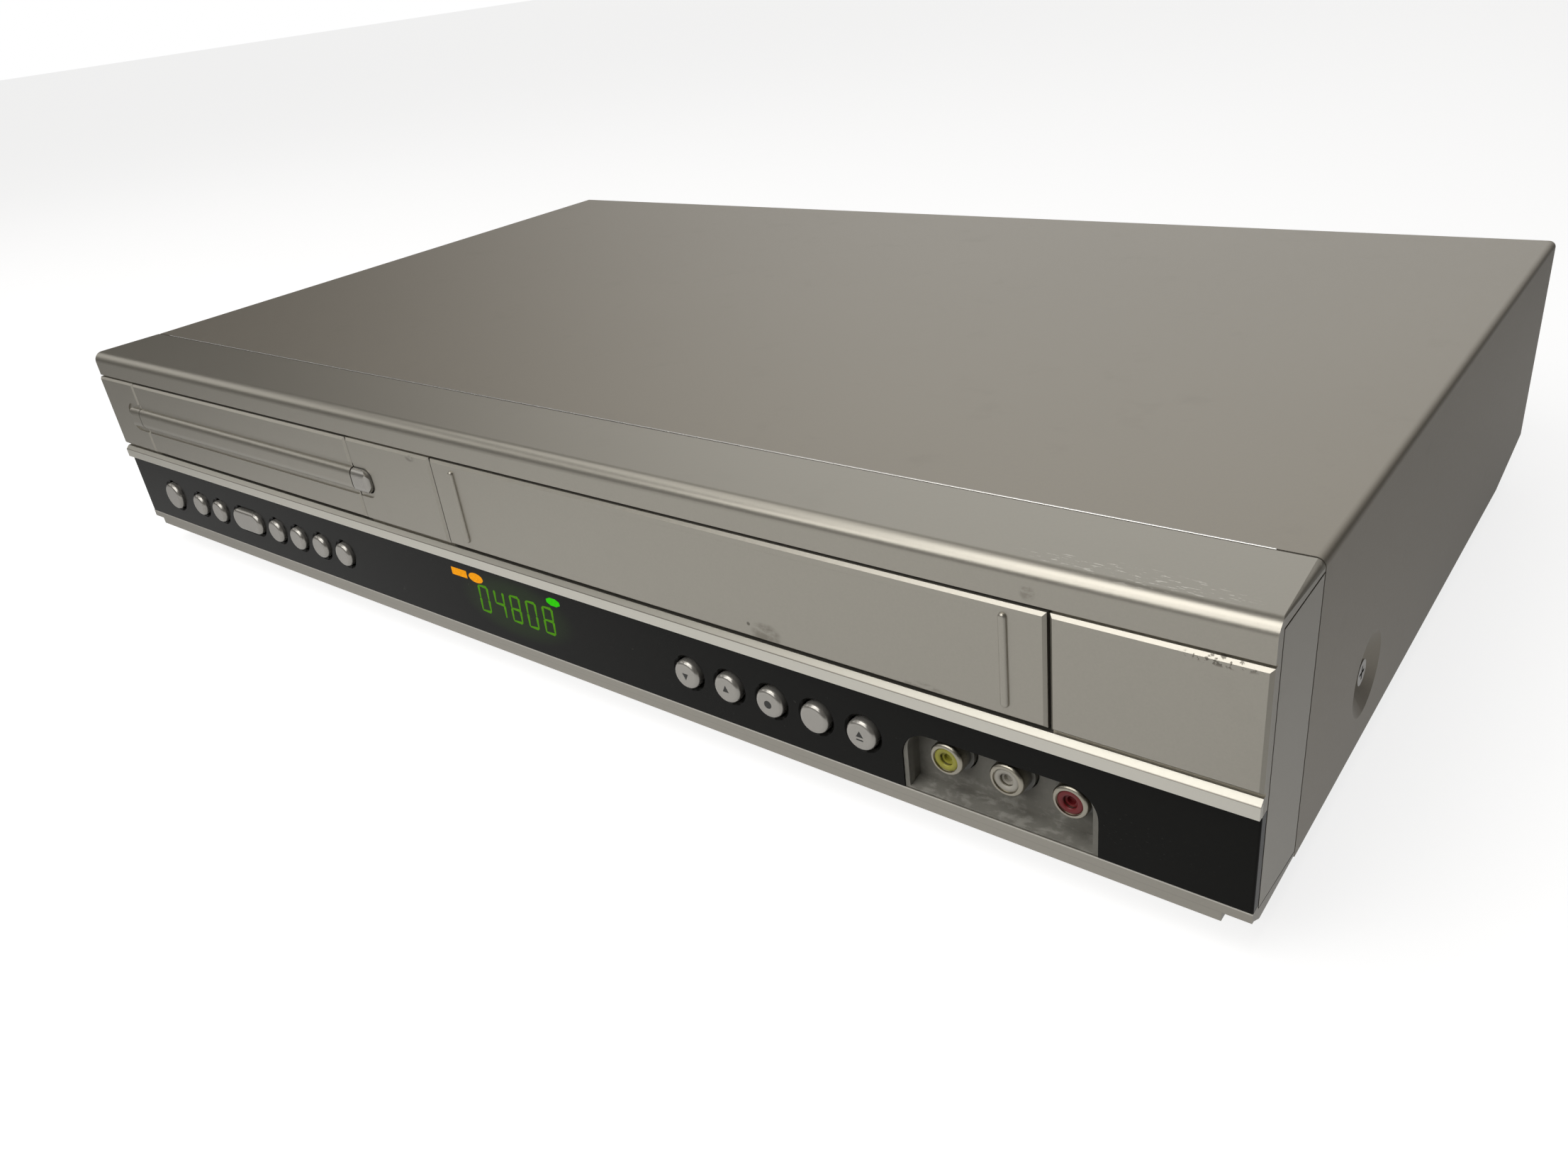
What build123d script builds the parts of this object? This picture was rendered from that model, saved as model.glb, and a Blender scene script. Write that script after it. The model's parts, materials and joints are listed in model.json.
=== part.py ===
from build123d import *
import math
import os

os.makedirs("parts", exist_ok=True)

# Frame: X to the right seen from the front, Y to the back, Z up, origin on the
# floor under the middle of the case. All sizes are in millimetres.

# ---------------------------------------------------------------- case
WIDTH = 435.0
HALF_W = WIDTH / 2
TOP_Z = 78.0
FOOT_H = 8.5
FACE_Y = -131.7
SEAM_Y = -106.5
COVER_FRONT_Y = -105.9
COVER_REAR_Y = 126.0
COVER_BOTTOM_Z = 7.8
SHEET = 0.8
FOLD_R = 2.0
FLOOR_T = 1.0
FLOOR_TOP = FOOT_H + FLOOR_T
REAR_IN_Y = 123.7
REAR_OUT_Y = REAR_IN_Y + SHEET
CHASSIS_HALF_W = 213.5
CHASSIS_FRONT_Y = -106.0
CHASSIS_WALL_Z = 34.0
CORNER_CUT_Y = 91.5
CORNER_CUT_Z = 13.8

# side screw dimple: a cone pressed into each side of the cover
DIMPLE_Y = -60.3
DIMPLE_Z = 26.6
DIMPLE_R = 10.5
DIMPLE_FLOOR_R = 5.6
DIMPLE_DEPTH = 2.8
SCREW_R = 1.45
SCREW_HOLE_R = 1.6
SCREW_HEAD_R = 3.2
SCREW_HEAD_H = 1.7
SCREW_L = 6.0
REAR_SCREW_XS = (-205.0, -60.0, 140.0, 205.0)
REAR_SCREW_Z = 18.5
TAB_HALF_W = 4.5

# ---------------------------------------------------------------- front levels
WALL = 2.2
FRONT_WALL = 2.4
LIP_R = 3.4
LIP_END_R = 0.4
SKIM = 0.05
CORNER_DEPTH = 30.0
GAP = 0.7
TRAY_GAP = 0.35
FASCIA_BOTTOM_Z = 69.8
PANEL_TOP_Z = 69.2
PANEL_BOTTOM_Z = 42.2
LEDGE_TOP_Z = 41.2
LEDGE_FACET_Z = 40.0
LEDGE_LOW_Z = 37.0
LEDGE_PROUD = 1.3
PANEL_PROUD = 0.8
PANEL_BEVEL = 0.7
RIB_W = 1.9
RIB_H = 22.3
RIB_PROUD = 0.75
STRIP_TOP_Z = 36.7
STRIP_LOW_Z = 13.3
STRIP_T = 2.2
TRIM_LOW_Z = 8.6
GROOVE_Y = -128.9
GROOVE_TOP_Z = 75.2
GROOVE_W = 0.5
INNER_WALL_Y = FACE_Y + 2.3
INNER_WALL_T = 2.0

# ---------------------------------------------------------------- front layout along X
TRAY_L, TRAY_R = -192.2, -57.6
DOOR_L, DOOR_R = -15.6, 174.9
PANEL_Z = (PANEL_TOP_Z + PANEL_BOTTOM_Z) / 2
BAR_H = 7.6
BAR_PROUD = 1.2
BAR_CROWN = 2.4
BAR_END_X = -201.0
BAR_END_R = 3.0
HALO = 1.6
HALO_DEPTH = 0.5
OPEN_KEY_L, OPEN_KEY_R = -56.6, -48.9

KEY_Z = 24.4
KEY_PROUD = 1.5
KEY_ROUND = 1.2
KEY_TRAVEL_GAP = 1.1
ROUND_KEY_R = 4.1
POWER_KEY_R = 5.2
PLAY_W = 18.0
KEY_GAP = 0.5
KEY_CHAMFER = 0.65
ROUND_KEYS = {
    "rewind_button": -172.1,
    "forward_button": -158.1,
    "stop_button": -119.7,
    "pause_button": -106.1,
    "previous_button": -92.4,
    "next_button": -78.8,
    "channel_down_button": 74.0,
    "channel_up_button": 87.5,
    "record_button": 101.0,
    "source_button": 114.5,
    "eject_button": 128.0,
}
POWER_X = -191.6
PLAY_X = -138.4

JACKS = {"video_jack": 149.8, "audio_left_jack": 164.6, "audio_right_jack": 179.3}
JACK_Z = 24.6
JACK_R = 4.15
JACK_RIM_ROUND = 0.9
JACK_BOSS_R = 5.0
JACK_BORE_R = 1.7
JACK_INSERT_R = 3.1
RECESS_L, RECESS_R = 138.6, 185.8
RECESS_TOP_Z = 29.5
RECESS_CORNER_R = 7.0
RECESS_DEPTH = 5.4

BOARD_T = 1.6
FRONT_BOARD_Y = FACE_Y + 9.0
SWITCH_Y = FACE_Y + 5.7
STEM_BACK_Y = SWITCH_Y - KEY_TRAVEL_GAP
DISPLAY_X = 4.0
DISPLAY_W = 76.0

# ---------------------------------------------------------------- disc loader
LOADER_X = (TRAY_L + TRAY_R) / 2
DISC_Y = -50.0
DISC_WELL_R = 61.0
SMALL_WELL_R = 41.0
TRAY_HALF_W = 65.0
TRAY_LOW_Z = 53.0
TRAY_TOP_Z = 58.5
WELL_Z = 55.0
SMALL_WELL_Z = 54.3
TRAY_REAR_Y = 56.0
TRAY_SLOT_HALF = 20.0
LOADER_FRONT_Y = -100.0
LOADER_REAR_Y = 64.0
LOADER_LOW_Z = 36.0
LOADER_FLOOR_T = 2.0
LOADER_IN = 66.5
LOADER_OUT = 70.0
RUN_GAP = 0.3

GEAR_MODULE = 1.0
GEAR_TEETH = 24
GEAR_R = GEAR_MODULE * GEAR_TEETH / 2
TOOTH_PITCH = math.pi * GEAR_MODULE
TOOTH_ADD = 0.9
TOOTH_DED = 1.1
TOOTH_TIP = 0.75
TOOTH_ROOT = 1.85
RACK_LINE_X = LOADER_X - 58.0
GEAR_X = RACK_LINE_X + GEAR_R
GEAR_Y = -90.0
RACK_LOW_Z = 49.6
PULLEY_R = 12.5
PULLEY_Z = 46.0
PULLEY_T = 2.6
MOTOR_PULLEY_R = 3.5
MOTOR_X = GEAR_X + 32.0
BELT_GAP = 0.1
BELT_T = 1.2

TRAVERSE_Z = 40.0
TRAVERSE_T = 2.0
TRAVERSE_HALF_W = 42.0
TRAVERSE_FRONT_Y = -70.0
TRAVERSE_PIVOT_Y = 50.0
ROD_Z = 46.0
ROD_R = 1.5
ROD_X = 20.0
ROD_FRONT_Y = -36.0
ROD_REAR_Y = 45.0
SLED_FRONT_Y = -32.5
SLED_L = 20.0
SCREW_X = 30.0

# ---------------------------------------------------------------- tape deck
DECK_X = (DOOR_L + DOOR_R) / 2
DECK_HALF_W = 100.0
DECK_FRONT_Y = -98.0
DECK_REAR_Y = 92.0
DECK_Z = 19.0
DECK_T = 1.2
DECK_TOP = DECK_Z + DECK_T
DRUM_Y = 58.0
DRUM_R = 31.0
DRUM_SPLIT_Z = 36.0
DRUM_TOP_Z = 57.0
HOLDER_HALF_W = 97.0
HOLDER_FRONT_Y = -102.5
HOLDER_REAR_Y = 4.0
HOLDER_LOW_Z = 41.5
HOLDER_TOP_Z = 69.5
HOLDER_TRAVEL = 20.0
HOLDER_DROP = 17.0
PIN_R = 1.5
HOLDER_PIN_YS = (-78.0, -28.0)
HOLDER_PIN_Z = 60.0
CAPSTAN_X = DECK_X + 50.0
CAPSTAN_Y = 22.0
PINCH_PIVOT = (DECK_X + 66.0, 12.0)
PINCH_ROLLER = (DECK_X + 59.0, 30.0)
PINCH_R = 7.0
REEL_SPACING = 83.0
REEL_Y = -38.0
REEL_R = 20.0

DOOR_PIVOT_Y = FACE_Y + 3.8
DOOR_PIVOT_Z = 66.4
DOOR_PIN_R = 1.1
DOOR_LUG_X = 2.4
DOOR_LUG_W = 1.6
DOOR_PIN_IN = 10.0
PIVOT_LUG_W = 3.0
SPRING_WIRE = 0.5

# ---------------------------------------------------------------- boards and rear sockets
BOARD_Z = 13.0
MAIN_BOARD = (-50.0, 208.0, 62.0, 121.0)
POWER_BOARD = (-208.0, -62.0, 72.0, 121.0)
LINE_XS = (60.0, 75.0, 90.0)
LINE_ZS = (26.0, 42.0)
VIDEO_XS = (-30.0, -15.0, 0.0, 15.0, 30.0)
VIDEO_ZS = (34.0,)
PHONO_PROUD = 9.4
TUNER = (150.0, 200.0, 96.0, 123.6)
TUNER_TOP_Z = 52.0
AERIAL_XS = (163.0, 187.0)
AERIAL_Z = 34.0
AERIAL_R = 4.8
GLAND_X = -185.0
GLAND_Z = 30.0
GLAND_R = 7.0


def facing(y):
    """A sketch plane at depth y that looks out of the front."""
    return Plane.XZ.offset(-y)


def block(x0, x1, y0, y1, z0, z1, mode=Mode.ADD):
    """A box given by its two corners."""
    with Locations(((x0 + x1) / 2, (y0 + y1) / 2, (z0 + z1) / 2)):
        Box(abs(x1 - x0), abs(y1 - y0), abs(z1 - z0), mode=mode)


def post(x, y, z0, z1, radius, mode=Mode.ADD):
    """An upright cylinder."""
    with Locations((x, y, z0)):
        Cylinder(radius, z1 - z0, align=(Align.CENTER, Align.CENTER, Align.MIN), mode=mode)


def rod_y(x, z, y0, y1, radius, mode=Mode.ADD):
    """A cylinder that lies along Y."""
    with Locations(Plane(origin=(x, y0, z), z_dir=(0, 1, 0)).location):
        Cylinder(radius, y1 - y0, align=(Align.CENTER, Align.CENTER, Align.MIN), mode=mode)


def rod_x(y, z, x0, x1, radius, mode=Mode.ADD):
    """A cylinder that lies along X."""
    with Locations(Plane(origin=(x0, y, z), z_dir=(1, 0, 0)).location):
        Cylinder(radius, x1 - x0, align=(Align.CENTER, Align.CENTER, Align.MIN), mode=mode)


def front_slab(x0, x1, z0, z1, y_front, y_back):
    """A front plate with a bevel all round its face."""
    bevel_y = y_front + PANEL_BEVEL
    for start_y, depth, slope in ((y_back, y_back - bevel_y, 0), (bevel_y, PANEL_BEVEL, 45)):
        with BuildSketch(facing(start_y)) as outline:
            with Locations(((x0 + x1) / 2, (z0 + z1) / 2)):
                Rectangle(x1 - x0, z1 - z0)
        extrude(outline.sketch, amount=depth, taper=slope)


def crowned_bar(x0, x1, y_front, y_back, rounded_end=0):
    """A length of the raised bar across the tray; -1 or 1 rounds its left or right end over."""
    low_z, high_z = PANEL_Z - BAR_H / 2, PANEL_Z + BAR_H / 2
    drop = BAR_PROUD + HALO_DEPTH
    with BuildPart(mode=Mode.PRIVATE) as bar:
        with BuildSketch(Plane.YZ.offset(x0)) as profile:
            with BuildLine():
                EllipticalCenterArc(
                    (y_front + drop, low_z + BAR_CROWN), drop, BAR_CROWN, start_angle=180, arc_size=90
                )
                EllipticalCenterArc(
                    (y_front + drop, high_z - BAR_CROWN), drop, BAR_CROWN, start_angle=90, arc_size=90
                )
                Line((y_front, high_z - BAR_CROWN), (y_front, low_z + BAR_CROWN))
                Polyline((y_front + drop, low_z), (y_back, low_z), (y_back, high_z), (y_front + drop, high_z))
            make_face()
        extrude(profile.sketch, amount=x1 - x0)
        if rounded_end:
            end_x = x1 if rounded_end > 0 else x0
            far_x = end_x - rounded_end * 60
            shoulder_x = end_x - rounded_end * BAR_CROWN
            with BuildSketch(Plane.XY.offset(low_z - 1)) as plan:
                with BuildLine():
                    Spline(
                        (shoulder_x, y_front),
                        (end_x, y_front + drop),
                        tangents=((rounded_end, 0), (0, 1)),
                    )
                    Polyline(
                        (end_x, y_front + drop), (end_x, y_back + 1), (far_x, y_back + 1),
                        (far_x, y_front), (shoulder_x, y_front),
                    )
                make_face()
            extrude(plan.sketch, amount=BAR_H + 2, mode=Mode.INTERSECT)
            with BuildSketch(facing(y_back + 1)) as outline:
                with Locations((end_x - rounded_end * 30, PANEL_Z)):
                    RectangleRounded(60, BAR_H, BAR_END_R)
            extrude(outline.sketch, amount=y_back + 2 - y_front, mode=Mode.INTERSECT)
    add(bar.part)


def cut_opening(x0, x1, z0, z1, y_front, y_back, radius):
    """A cut through a front wall with four rounded corners."""
    with BuildSketch(facing(y_back)) as outline:
        with Locations(((x0 + x1) / 2, (z0 + z1) / 2)):
            RectangleRounded(x1 - x0, z1 - z0, radius)
    extrude(outline.sketch, amount=y_back - y_front, mode=Mode.SUBTRACT)


def save(piece, name):
    """Label a finished piece and write it."""
    piece.part.label = name
    export_step(piece.part, "parts/" + name + ".step")


def gear_points(teeth, x, y):
    """The outline of a straight-sided spur gear, with a space facing -X."""
    radius = GEAR_MODULE * teeth / 2
    points = []
    for index in range(teeth):
        middle = math.pi + (index + 0.5) * 2 * math.pi / teeth
        for reach, width, side in (
            (-TOOTH_DED, TOOTH_ROOT, -1),
            (TOOTH_ADD, TOOTH_TIP, -1),
            (TOOTH_ADD, TOOTH_TIP, 1),
            (-TOOTH_DED, TOOTH_ROOT, 1),
        ):
            distance = radius + reach
            angle = middle + side * width / 2 / distance
            points.append((x + distance * math.cos(angle), y + distance * math.sin(angle)))
    return points


# ================================================================ casing
with BuildPart() as base_chassis:
    block(-CHASSIS_HALF_W, CHASSIS_HALF_W, CHASSIS_FRONT_Y, REAR_IN_Y, FOOT_H, FLOOR_TOP)
    for side in (-1, 1):
        inner, outer = side * (CHASSIS_HALF_W - SHEET), side * CHASSIS_HALF_W
        block(min(inner, outer), max(inner, outer), CHASSIS_FRONT_Y, REAR_IN_Y, FOOT_H, CHASSIS_WALL_Z)
    block(-CHASSIS_HALF_W, CHASSIS_HALF_W, CHASSIS_FRONT_Y, CHASSIS_FRONT_Y + SHEET, FOOT_H, 16.0)
    # tabs that take the rear screws
    for x in REAR_SCREW_XS:
        block(x - TAB_HALF_W, x + TAB_HALF_W, REAR_IN_Y - SHEET, REAR_IN_Y, FOOT_H, REAR_SCREW_Z + 4.0)
        rod_y(x, REAR_SCREW_Z, REAR_IN_Y - 2, REAR_IN_Y + 1, SCREW_HOLE_R, mode=Mode.SUBTRACT)
    # pillars under the disc loader and the tape deck
    for x in (LOADER_X - 60.0, LOADER_X + 60.0):
        for y in (-80.0, 58.0):
            post(x, y, FLOOR_TOP, LOADER_LOW_Z, 4.0)
    for x in (DECK_X - 92.0, DECK_X + 92.0):
        for y in (-88.0, 52.0):
            post(x, y, FLOOR_TOP, DECK_Z, 4.0)
    # stand-offs under the two rear boards
    for left, right, front, back in (MAIN_BOARD, POWER_BOARD):
        for x in (left + 6.0, right - 6.0):
            for y in (front + 6.0, back - 6.0):
                post(x, y, FLOOR_TOP, BOARD_Z, 2.5)
    # cooling slots in the floor
    with BuildSketch(Plane.XY.offset(FOOT_H)):
        with Locations((-130.0, 0.0), (130.0, 0.0)):
            with GridLocations(8.0, 40.0, 8, 2):
                SlotOverall(26.0, 3.0, rotation=90)
    extrude(amount=FLOOR_T, mode=Mode.SUBTRACT)
    rod_x(DIMPLE_Y, DIMPLE_Z, -HALF_W, HALF_W, SCREW_HOLE_R, mode=Mode.SUBTRACT)
save(base_chassis, "base_chassis")

with BuildPart() as top_cover:
    with BuildSketch(facing(COVER_REAR_Y)) as section:
        with Locations((0, (TOP_Z + COVER_BOTTOM_Z) / 2)):
            Rectangle(WIDTH, TOP_Z - COVER_BOTTOM_Z)
        fillet(section.vertices().group_by(Axis.Y)[-1], FOLD_R)
        with Locations((0, (TOP_Z - SHEET + COVER_BOTTOM_Z - 1) / 2)):
            Rectangle(WIDTH - 2 * SHEET, TOP_Z - SHEET - COVER_BOTTOM_Z + 1, mode=Mode.SUBTRACT)
    extrude(amount=COVER_REAR_Y - COVER_FRONT_Y)
    # lower rear corners of both sides are cut off on a slant
    with BuildSketch(Plane.YZ.offset(-HALF_W - 1)):
        with BuildLine():
            Polyline(
                (COVER_REAR_Y + 1, CORNER_CUT_Z),
                (COVER_REAR_Y, CORNER_CUT_Z),
                (CORNER_CUT_Y, COVER_BOTTOM_Z),
                (CORNER_CUT_Y, COVER_BOTTOM_Z - 1),
                (COVER_REAR_Y + 1, COVER_BOTTOM_Z - 1),
                close=True,
            )
        make_face()
    extrude(amount=WIDTH + 2, mode=Mode.SUBTRACT)
    # pressed screw dimples
    for side in (-1, 1):
        inward = Plane(origin=(side * HALF_W, DIMPLE_Y, DIMPLE_Z), z_dir=(-side, 0, 0))
        low = (Align.CENTER, Align.CENTER, Align.MIN)
        with Locations(inward.location):
            Cone(DIMPLE_R + SHEET, DIMPLE_FLOOR_R + SHEET, DIMPLE_DEPTH + SHEET, align=low)
            Cone(DIMPLE_R, DIMPLE_FLOOR_R, DIMPLE_DEPTH, align=low, mode=Mode.SUBTRACT)
            Cylinder(SCREW_HOLE_R, DIMPLE_DEPTH + 2 * SHEET, align=low, mode=Mode.SUBTRACT)
save(top_cover, "top_cover")

with BuildPart() as rear_panel:
    block(-216.3, 216.3, REAR_IN_Y, REAR_OUT_Y, FOOT_H, TOP_Z - SHEET - 0.3)
    for socket_xs, socket_zs in ((LINE_XS, LINE_ZS), (VIDEO_XS, VIDEO_ZS)):
        for x in socket_xs:
            for z in socket_zs:
                rod_y(x, z, REAR_IN_Y - 1, REAR_OUT_Y + 1, 5.2, mode=Mode.SUBTRACT)
    for x in AERIAL_XS:
        rod_y(x, AERIAL_Z, REAR_IN_Y - 1, REAR_OUT_Y + 1, 7.0, mode=Mode.SUBTRACT)
    rod_y(GLAND_X, GLAND_Z, REAR_IN_Y - 1, REAR_OUT_Y + 1, GLAND_R, mode=Mode.SUBTRACT)
    with BuildSketch(facing(REAR_OUT_Y + 1)):
        with Locations((-110.0, 48.0)):
            with GridLocations(7.0, 1.0, 12, 1):
                SlotOverall(24.0, 3.0, rotation=90)
    extrude(amount=SHEET + 2, mode=Mode.SUBTRACT)
    for x in REAR_SCREW_XS:
        rod_y(x, REAR_SCREW_Z, REAR_IN_Y - 1, REAR_OUT_Y + 1, SCREW_HOLE_R, mode=Mode.SUBTRACT)
save(rear_panel, "rear_panel")

with BuildPart() as feet:
    for x in (-165.0, 165.0):
        for y in (-92.0, 96.0):
            with Locations((x, y, 0)):
                Cone(9.5, 11.0, 1.5, align=(Align.CENTER, Align.CENTER, Align.MIN))
            post(x, y, 1.5, FOOT_H, 11.0)
save(feet, "feet")

with BuildPart() as case_screws:
    heads = []
    for side in (-1, 1):
        dimple_floor_x = side * (HALF_W - DIMPLE_DEPTH)
        heads.append(Plane(origin=(dimple_floor_x, DIMPLE_Y, DIMPLE_Z), z_dir=(side, 0, 0)))
    heads += [Plane(origin=(x, REAR_OUT_Y, REAR_SCREW_Z), z_dir=(0, 1, 0)) for x in REAR_SCREW_XS]
    for head in heads:
        with Locations(head.location):
            Cylinder(SCREW_HEAD_R, SCREW_HEAD_H, align=(Align.CENTER, Align.CENTER, Align.MIN))
            Cylinder(SCREW_R, SCREW_L, align=(Align.CENTER, Align.CENTER, Align.MAX))
            with Locations((0, 0, SCREW_HEAD_H)):
                cut = (Align.CENTER, Align.CENTER, Align.MAX)
                Box(3.6, 0.8, 1.0, align=cut, mode=Mode.SUBTRACT)
                Box(0.8, 3.6, 1.0, align=cut, mode=Mode.SUBTRACT)
save(case_screws, "case_screws")

# ================================================================ front
with BuildPart() as front_bezel:
    block(-HALF_W, HALF_W, FACE_Y, SEAM_Y, TRIM_LOW_Z, TOP_Z)
    lip = front_bezel.edges().filter_by(Axis.X).group_by(Axis.Z)[-1].sort_by(Axis.Y)[0]
    fillet(lip, LIP_R)
    # the upper side corners round off towards the cover
    for corner_y, corner_r in ((SEAM_Y, FOLD_R), (FACE_Y, LIP_END_R)):
        with BuildSketch(facing(corner_y)):
            with Locations((0, (TOP_Z + SKIM - CORNER_DEPTH) / 2)):
                RectangleRounded(WIDTH + 2 * SKIM, TOP_Z + SKIM + CORNER_DEPTH, corner_r)
    loft(mode=Mode.INTERSECT)
    block(
        -HALF_W + WALL, HALF_W - WALL, FACE_Y + FRONT_WALL, SEAM_Y + 1, 0.0, TOP_Z - WALL, mode=Mode.SUBTRACT
    )
    # wall behind the control strip
    block(-HALF_W + WALL, HALF_W - WALL, INNER_WALL_Y, INNER_WALL_Y + INNER_WALL_T, 12.0, 38.0)
    # band that the control strip fills, and its short returns round both ends
    block(
        -HALF_W - 1, HALF_W + 1, FACE_Y - 1, INNER_WALL_Y,
        STRIP_LOW_Z - 5, STRIP_TOP_Z + 0.1, Mode.SUBTRACT,
    )
    for side in (-1, 1):
        inner, outer = sorted((side * (HALF_W - WALL), side * (HALF_W + 1)))
        block(inner, outer, FACE_Y - 1, GROOVE_Y, STRIP_LOW_Z - 5, STRIP_TOP_Z + 0.1, Mode.SUBTRACT)
    # slanted lower edge over the bottom trim
    with BuildSketch(Plane.YZ.offset(-HALF_W - 1)):
        with BuildLine():
            Polyline(
                (FACE_Y - 1, 6.0),
                (FACE_Y - 1, STRIP_LOW_Z),
                (GROOVE_Y, STRIP_LOW_Z),
                (GROOVE_Y + 0.4, 12.3),
                (SEAM_Y + 1, 9.7),
                (SEAM_Y + 1, 6.0),
                close=True,
            )
        make_face()
    extrude(amount=WIDTH + 2, mode=Mode.SUBTRACT)
    # gap lines above and below the raised panels
    block(-HALF_W - 1, HALF_W + 1, FACE_Y - 1, FACE_Y + 0.9, PANEL_TOP_Z, FASCIA_BOTTOM_Z, Mode.SUBTRACT)
    block(-HALF_W - 1, HALF_W + 1, FACE_Y - 1, FACE_Y + 0.9, LEDGE_TOP_Z, PANEL_BOTTOM_Z, Mode.SUBTRACT)
    # fixed raised panels: left, middle, right
    for left, right in ((-HALF_W, TRAY_L - TRAY_GAP), (TRAY_R + GAP, DOOR_L - GAP), (DOOR_R + GAP, HALF_W)):
        front_slab(left, right, PANEL_BOTTOM_Z, PANEL_TOP_Z, FACE_Y - PANEL_PROUD, FACE_Y + 1.5)
    # stepped ledge
    with BuildSketch(Plane.YZ.offset(-HALF_W)):
        with BuildLine():
            Polyline(
                (FACE_Y + 1.5, LEDGE_TOP_Z),
                (FACE_Y, LEDGE_TOP_Z),
                (FACE_Y - LEDGE_PROUD, LEDGE_FACET_Z),
                (FACE_Y - LEDGE_PROUD, LEDGE_LOW_Z),
                (FACE_Y + 1.5, LEDGE_LOW_Z),
                close=True,
            )
        make_face()
    extrude(amount=WIDTH)
    # openings for the tray front and the cassette door
    for left, right in ((TRAY_L - TRAY_GAP, TRAY_R + GAP), (DOOR_L - GAP, DOOR_R + GAP)):
        block(left, right, FACE_Y - 2, FACE_Y + 4, LEDGE_TOP_Z, FASCIA_BOTTOM_Z, Mode.SUBTRACT)
    # fixed left end of the bar, inside its shallow halo
    cut_opening(
        BAR_END_X - HALO, TRAY_L + 20, PANEL_Z - BAR_H / 2 - HALO, PANEL_Z + BAR_H / 2 + HALO,
        FACE_Y - 2, FACE_Y - PANEL_PROUD + HALO_DEPTH, BAR_END_R + HALO,
    )
    crowned_bar(BAR_END_X, TRAY_L - TRAY_GAP, FACE_Y - PANEL_PROUD - BAR_PROUD, FACE_Y + 1, rounded_end=-1)
    block(TRAY_L - TRAY_GAP, TRAY_L + 5, FACE_Y - 3, FACE_Y + 4, LEDGE_TOP_Z, FASCIA_BOTTOM_Z, Mode.SUBTRACT)
    # halo and hole of the open/close button
    cut_opening(
        OPEN_KEY_L - 20, OPEN_KEY_R + HALO, PANEL_Z - BAR_H / 2 - HALO, PANEL_Z + BAR_H / 2 + HALO,
        FACE_Y - 2, FACE_Y - PANEL_PROUD + HALO_DEPTH, BAR_END_R + HALO,
    )
    cut_opening(
        OPEN_KEY_L - 10, OPEN_KEY_R + 0.3, PANEL_Z - BAR_H / 2 - 0.3, PANEL_Z + BAR_H / 2 + 0.3,
        FACE_Y - 2, FACE_Y + 4, BAR_END_R,
    )
    # holes behind the control strip
    for x in ROUND_KEYS.values():
        rod_y(x, KEY_Z, FACE_Y, FACE_Y + 6, ROUND_KEY_R + 1.0, mode=Mode.SUBTRACT)
    rod_y(POWER_X, KEY_Z, FACE_Y, FACE_Y + 6, POWER_KEY_R + 1.0, mode=Mode.SUBTRACT)
    play_half_w, play_half_h = PLAY_W / 2 + 1.0, ROUND_KEY_R + 1.0
    cut_opening(
        PLAY_X - play_half_w, PLAY_X + play_half_w, KEY_Z - play_half_h, KEY_Z + play_half_h,
        FACE_Y, FACE_Y + 6, play_half_h - 0.01,
    )
    block(
        DISPLAY_X - DISPLAY_W / 2 - 2, DISPLAY_X + DISPLAY_W / 2 + 2, FACE_Y, FACE_Y + 6,
        15.0, 34.5, Mode.SUBTRACT,
    )
    block(RECESS_L - 1.5, RECESS_R + 1.5, FACE_Y, FACE_Y + 6, 10.0, 32.6, Mode.SUBTRACT)
    # door pivots: a bored lug behind the wall at each end
    for low_x in (DOOR_L - GAP - PIVOT_LUG_W, DOOR_R + GAP):
        high_x = low_x + PIVOT_LUG_W
        block(low_x, high_x, FACE_Y + 1, DOOR_PIVOT_Y + 3, DOOR_PIVOT_Z - 3, DOOR_PIVOT_Z + 3)
        rod_x(DOOR_PIVOT_Y, DOOR_PIVOT_Z, low_x - 1, high_x + 1, DOOR_PIN_R + 0.1, mode=Mode.SUBTRACT)
    # cheek grooves
    for side in (-1, 1):
        inner, outer = sorted((side * (HALF_W - GROOVE_W), side * (HALF_W + 1)))
        block(inner, outer, GROOVE_Y, GROOVE_Y + GROOVE_W, 12.0, GROOVE_TOP_Z, Mode.SUBTRACT)
        block(inner, outer, GROOVE_Y, SEAM_Y + 1, GROOVE_TOP_Z, GROOVE_TOP_Z + GROOVE_W, Mode.SUBTRACT)
    # tongues that slip under the cover
    for x in (-180.0, -60.0, 60.0, 180.0):
        block(x - 8, x + 8, SEAM_Y - 4, SEAM_Y + 8, 75.0, 76.6)
save(front_bezel, "front_bezel")

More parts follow.
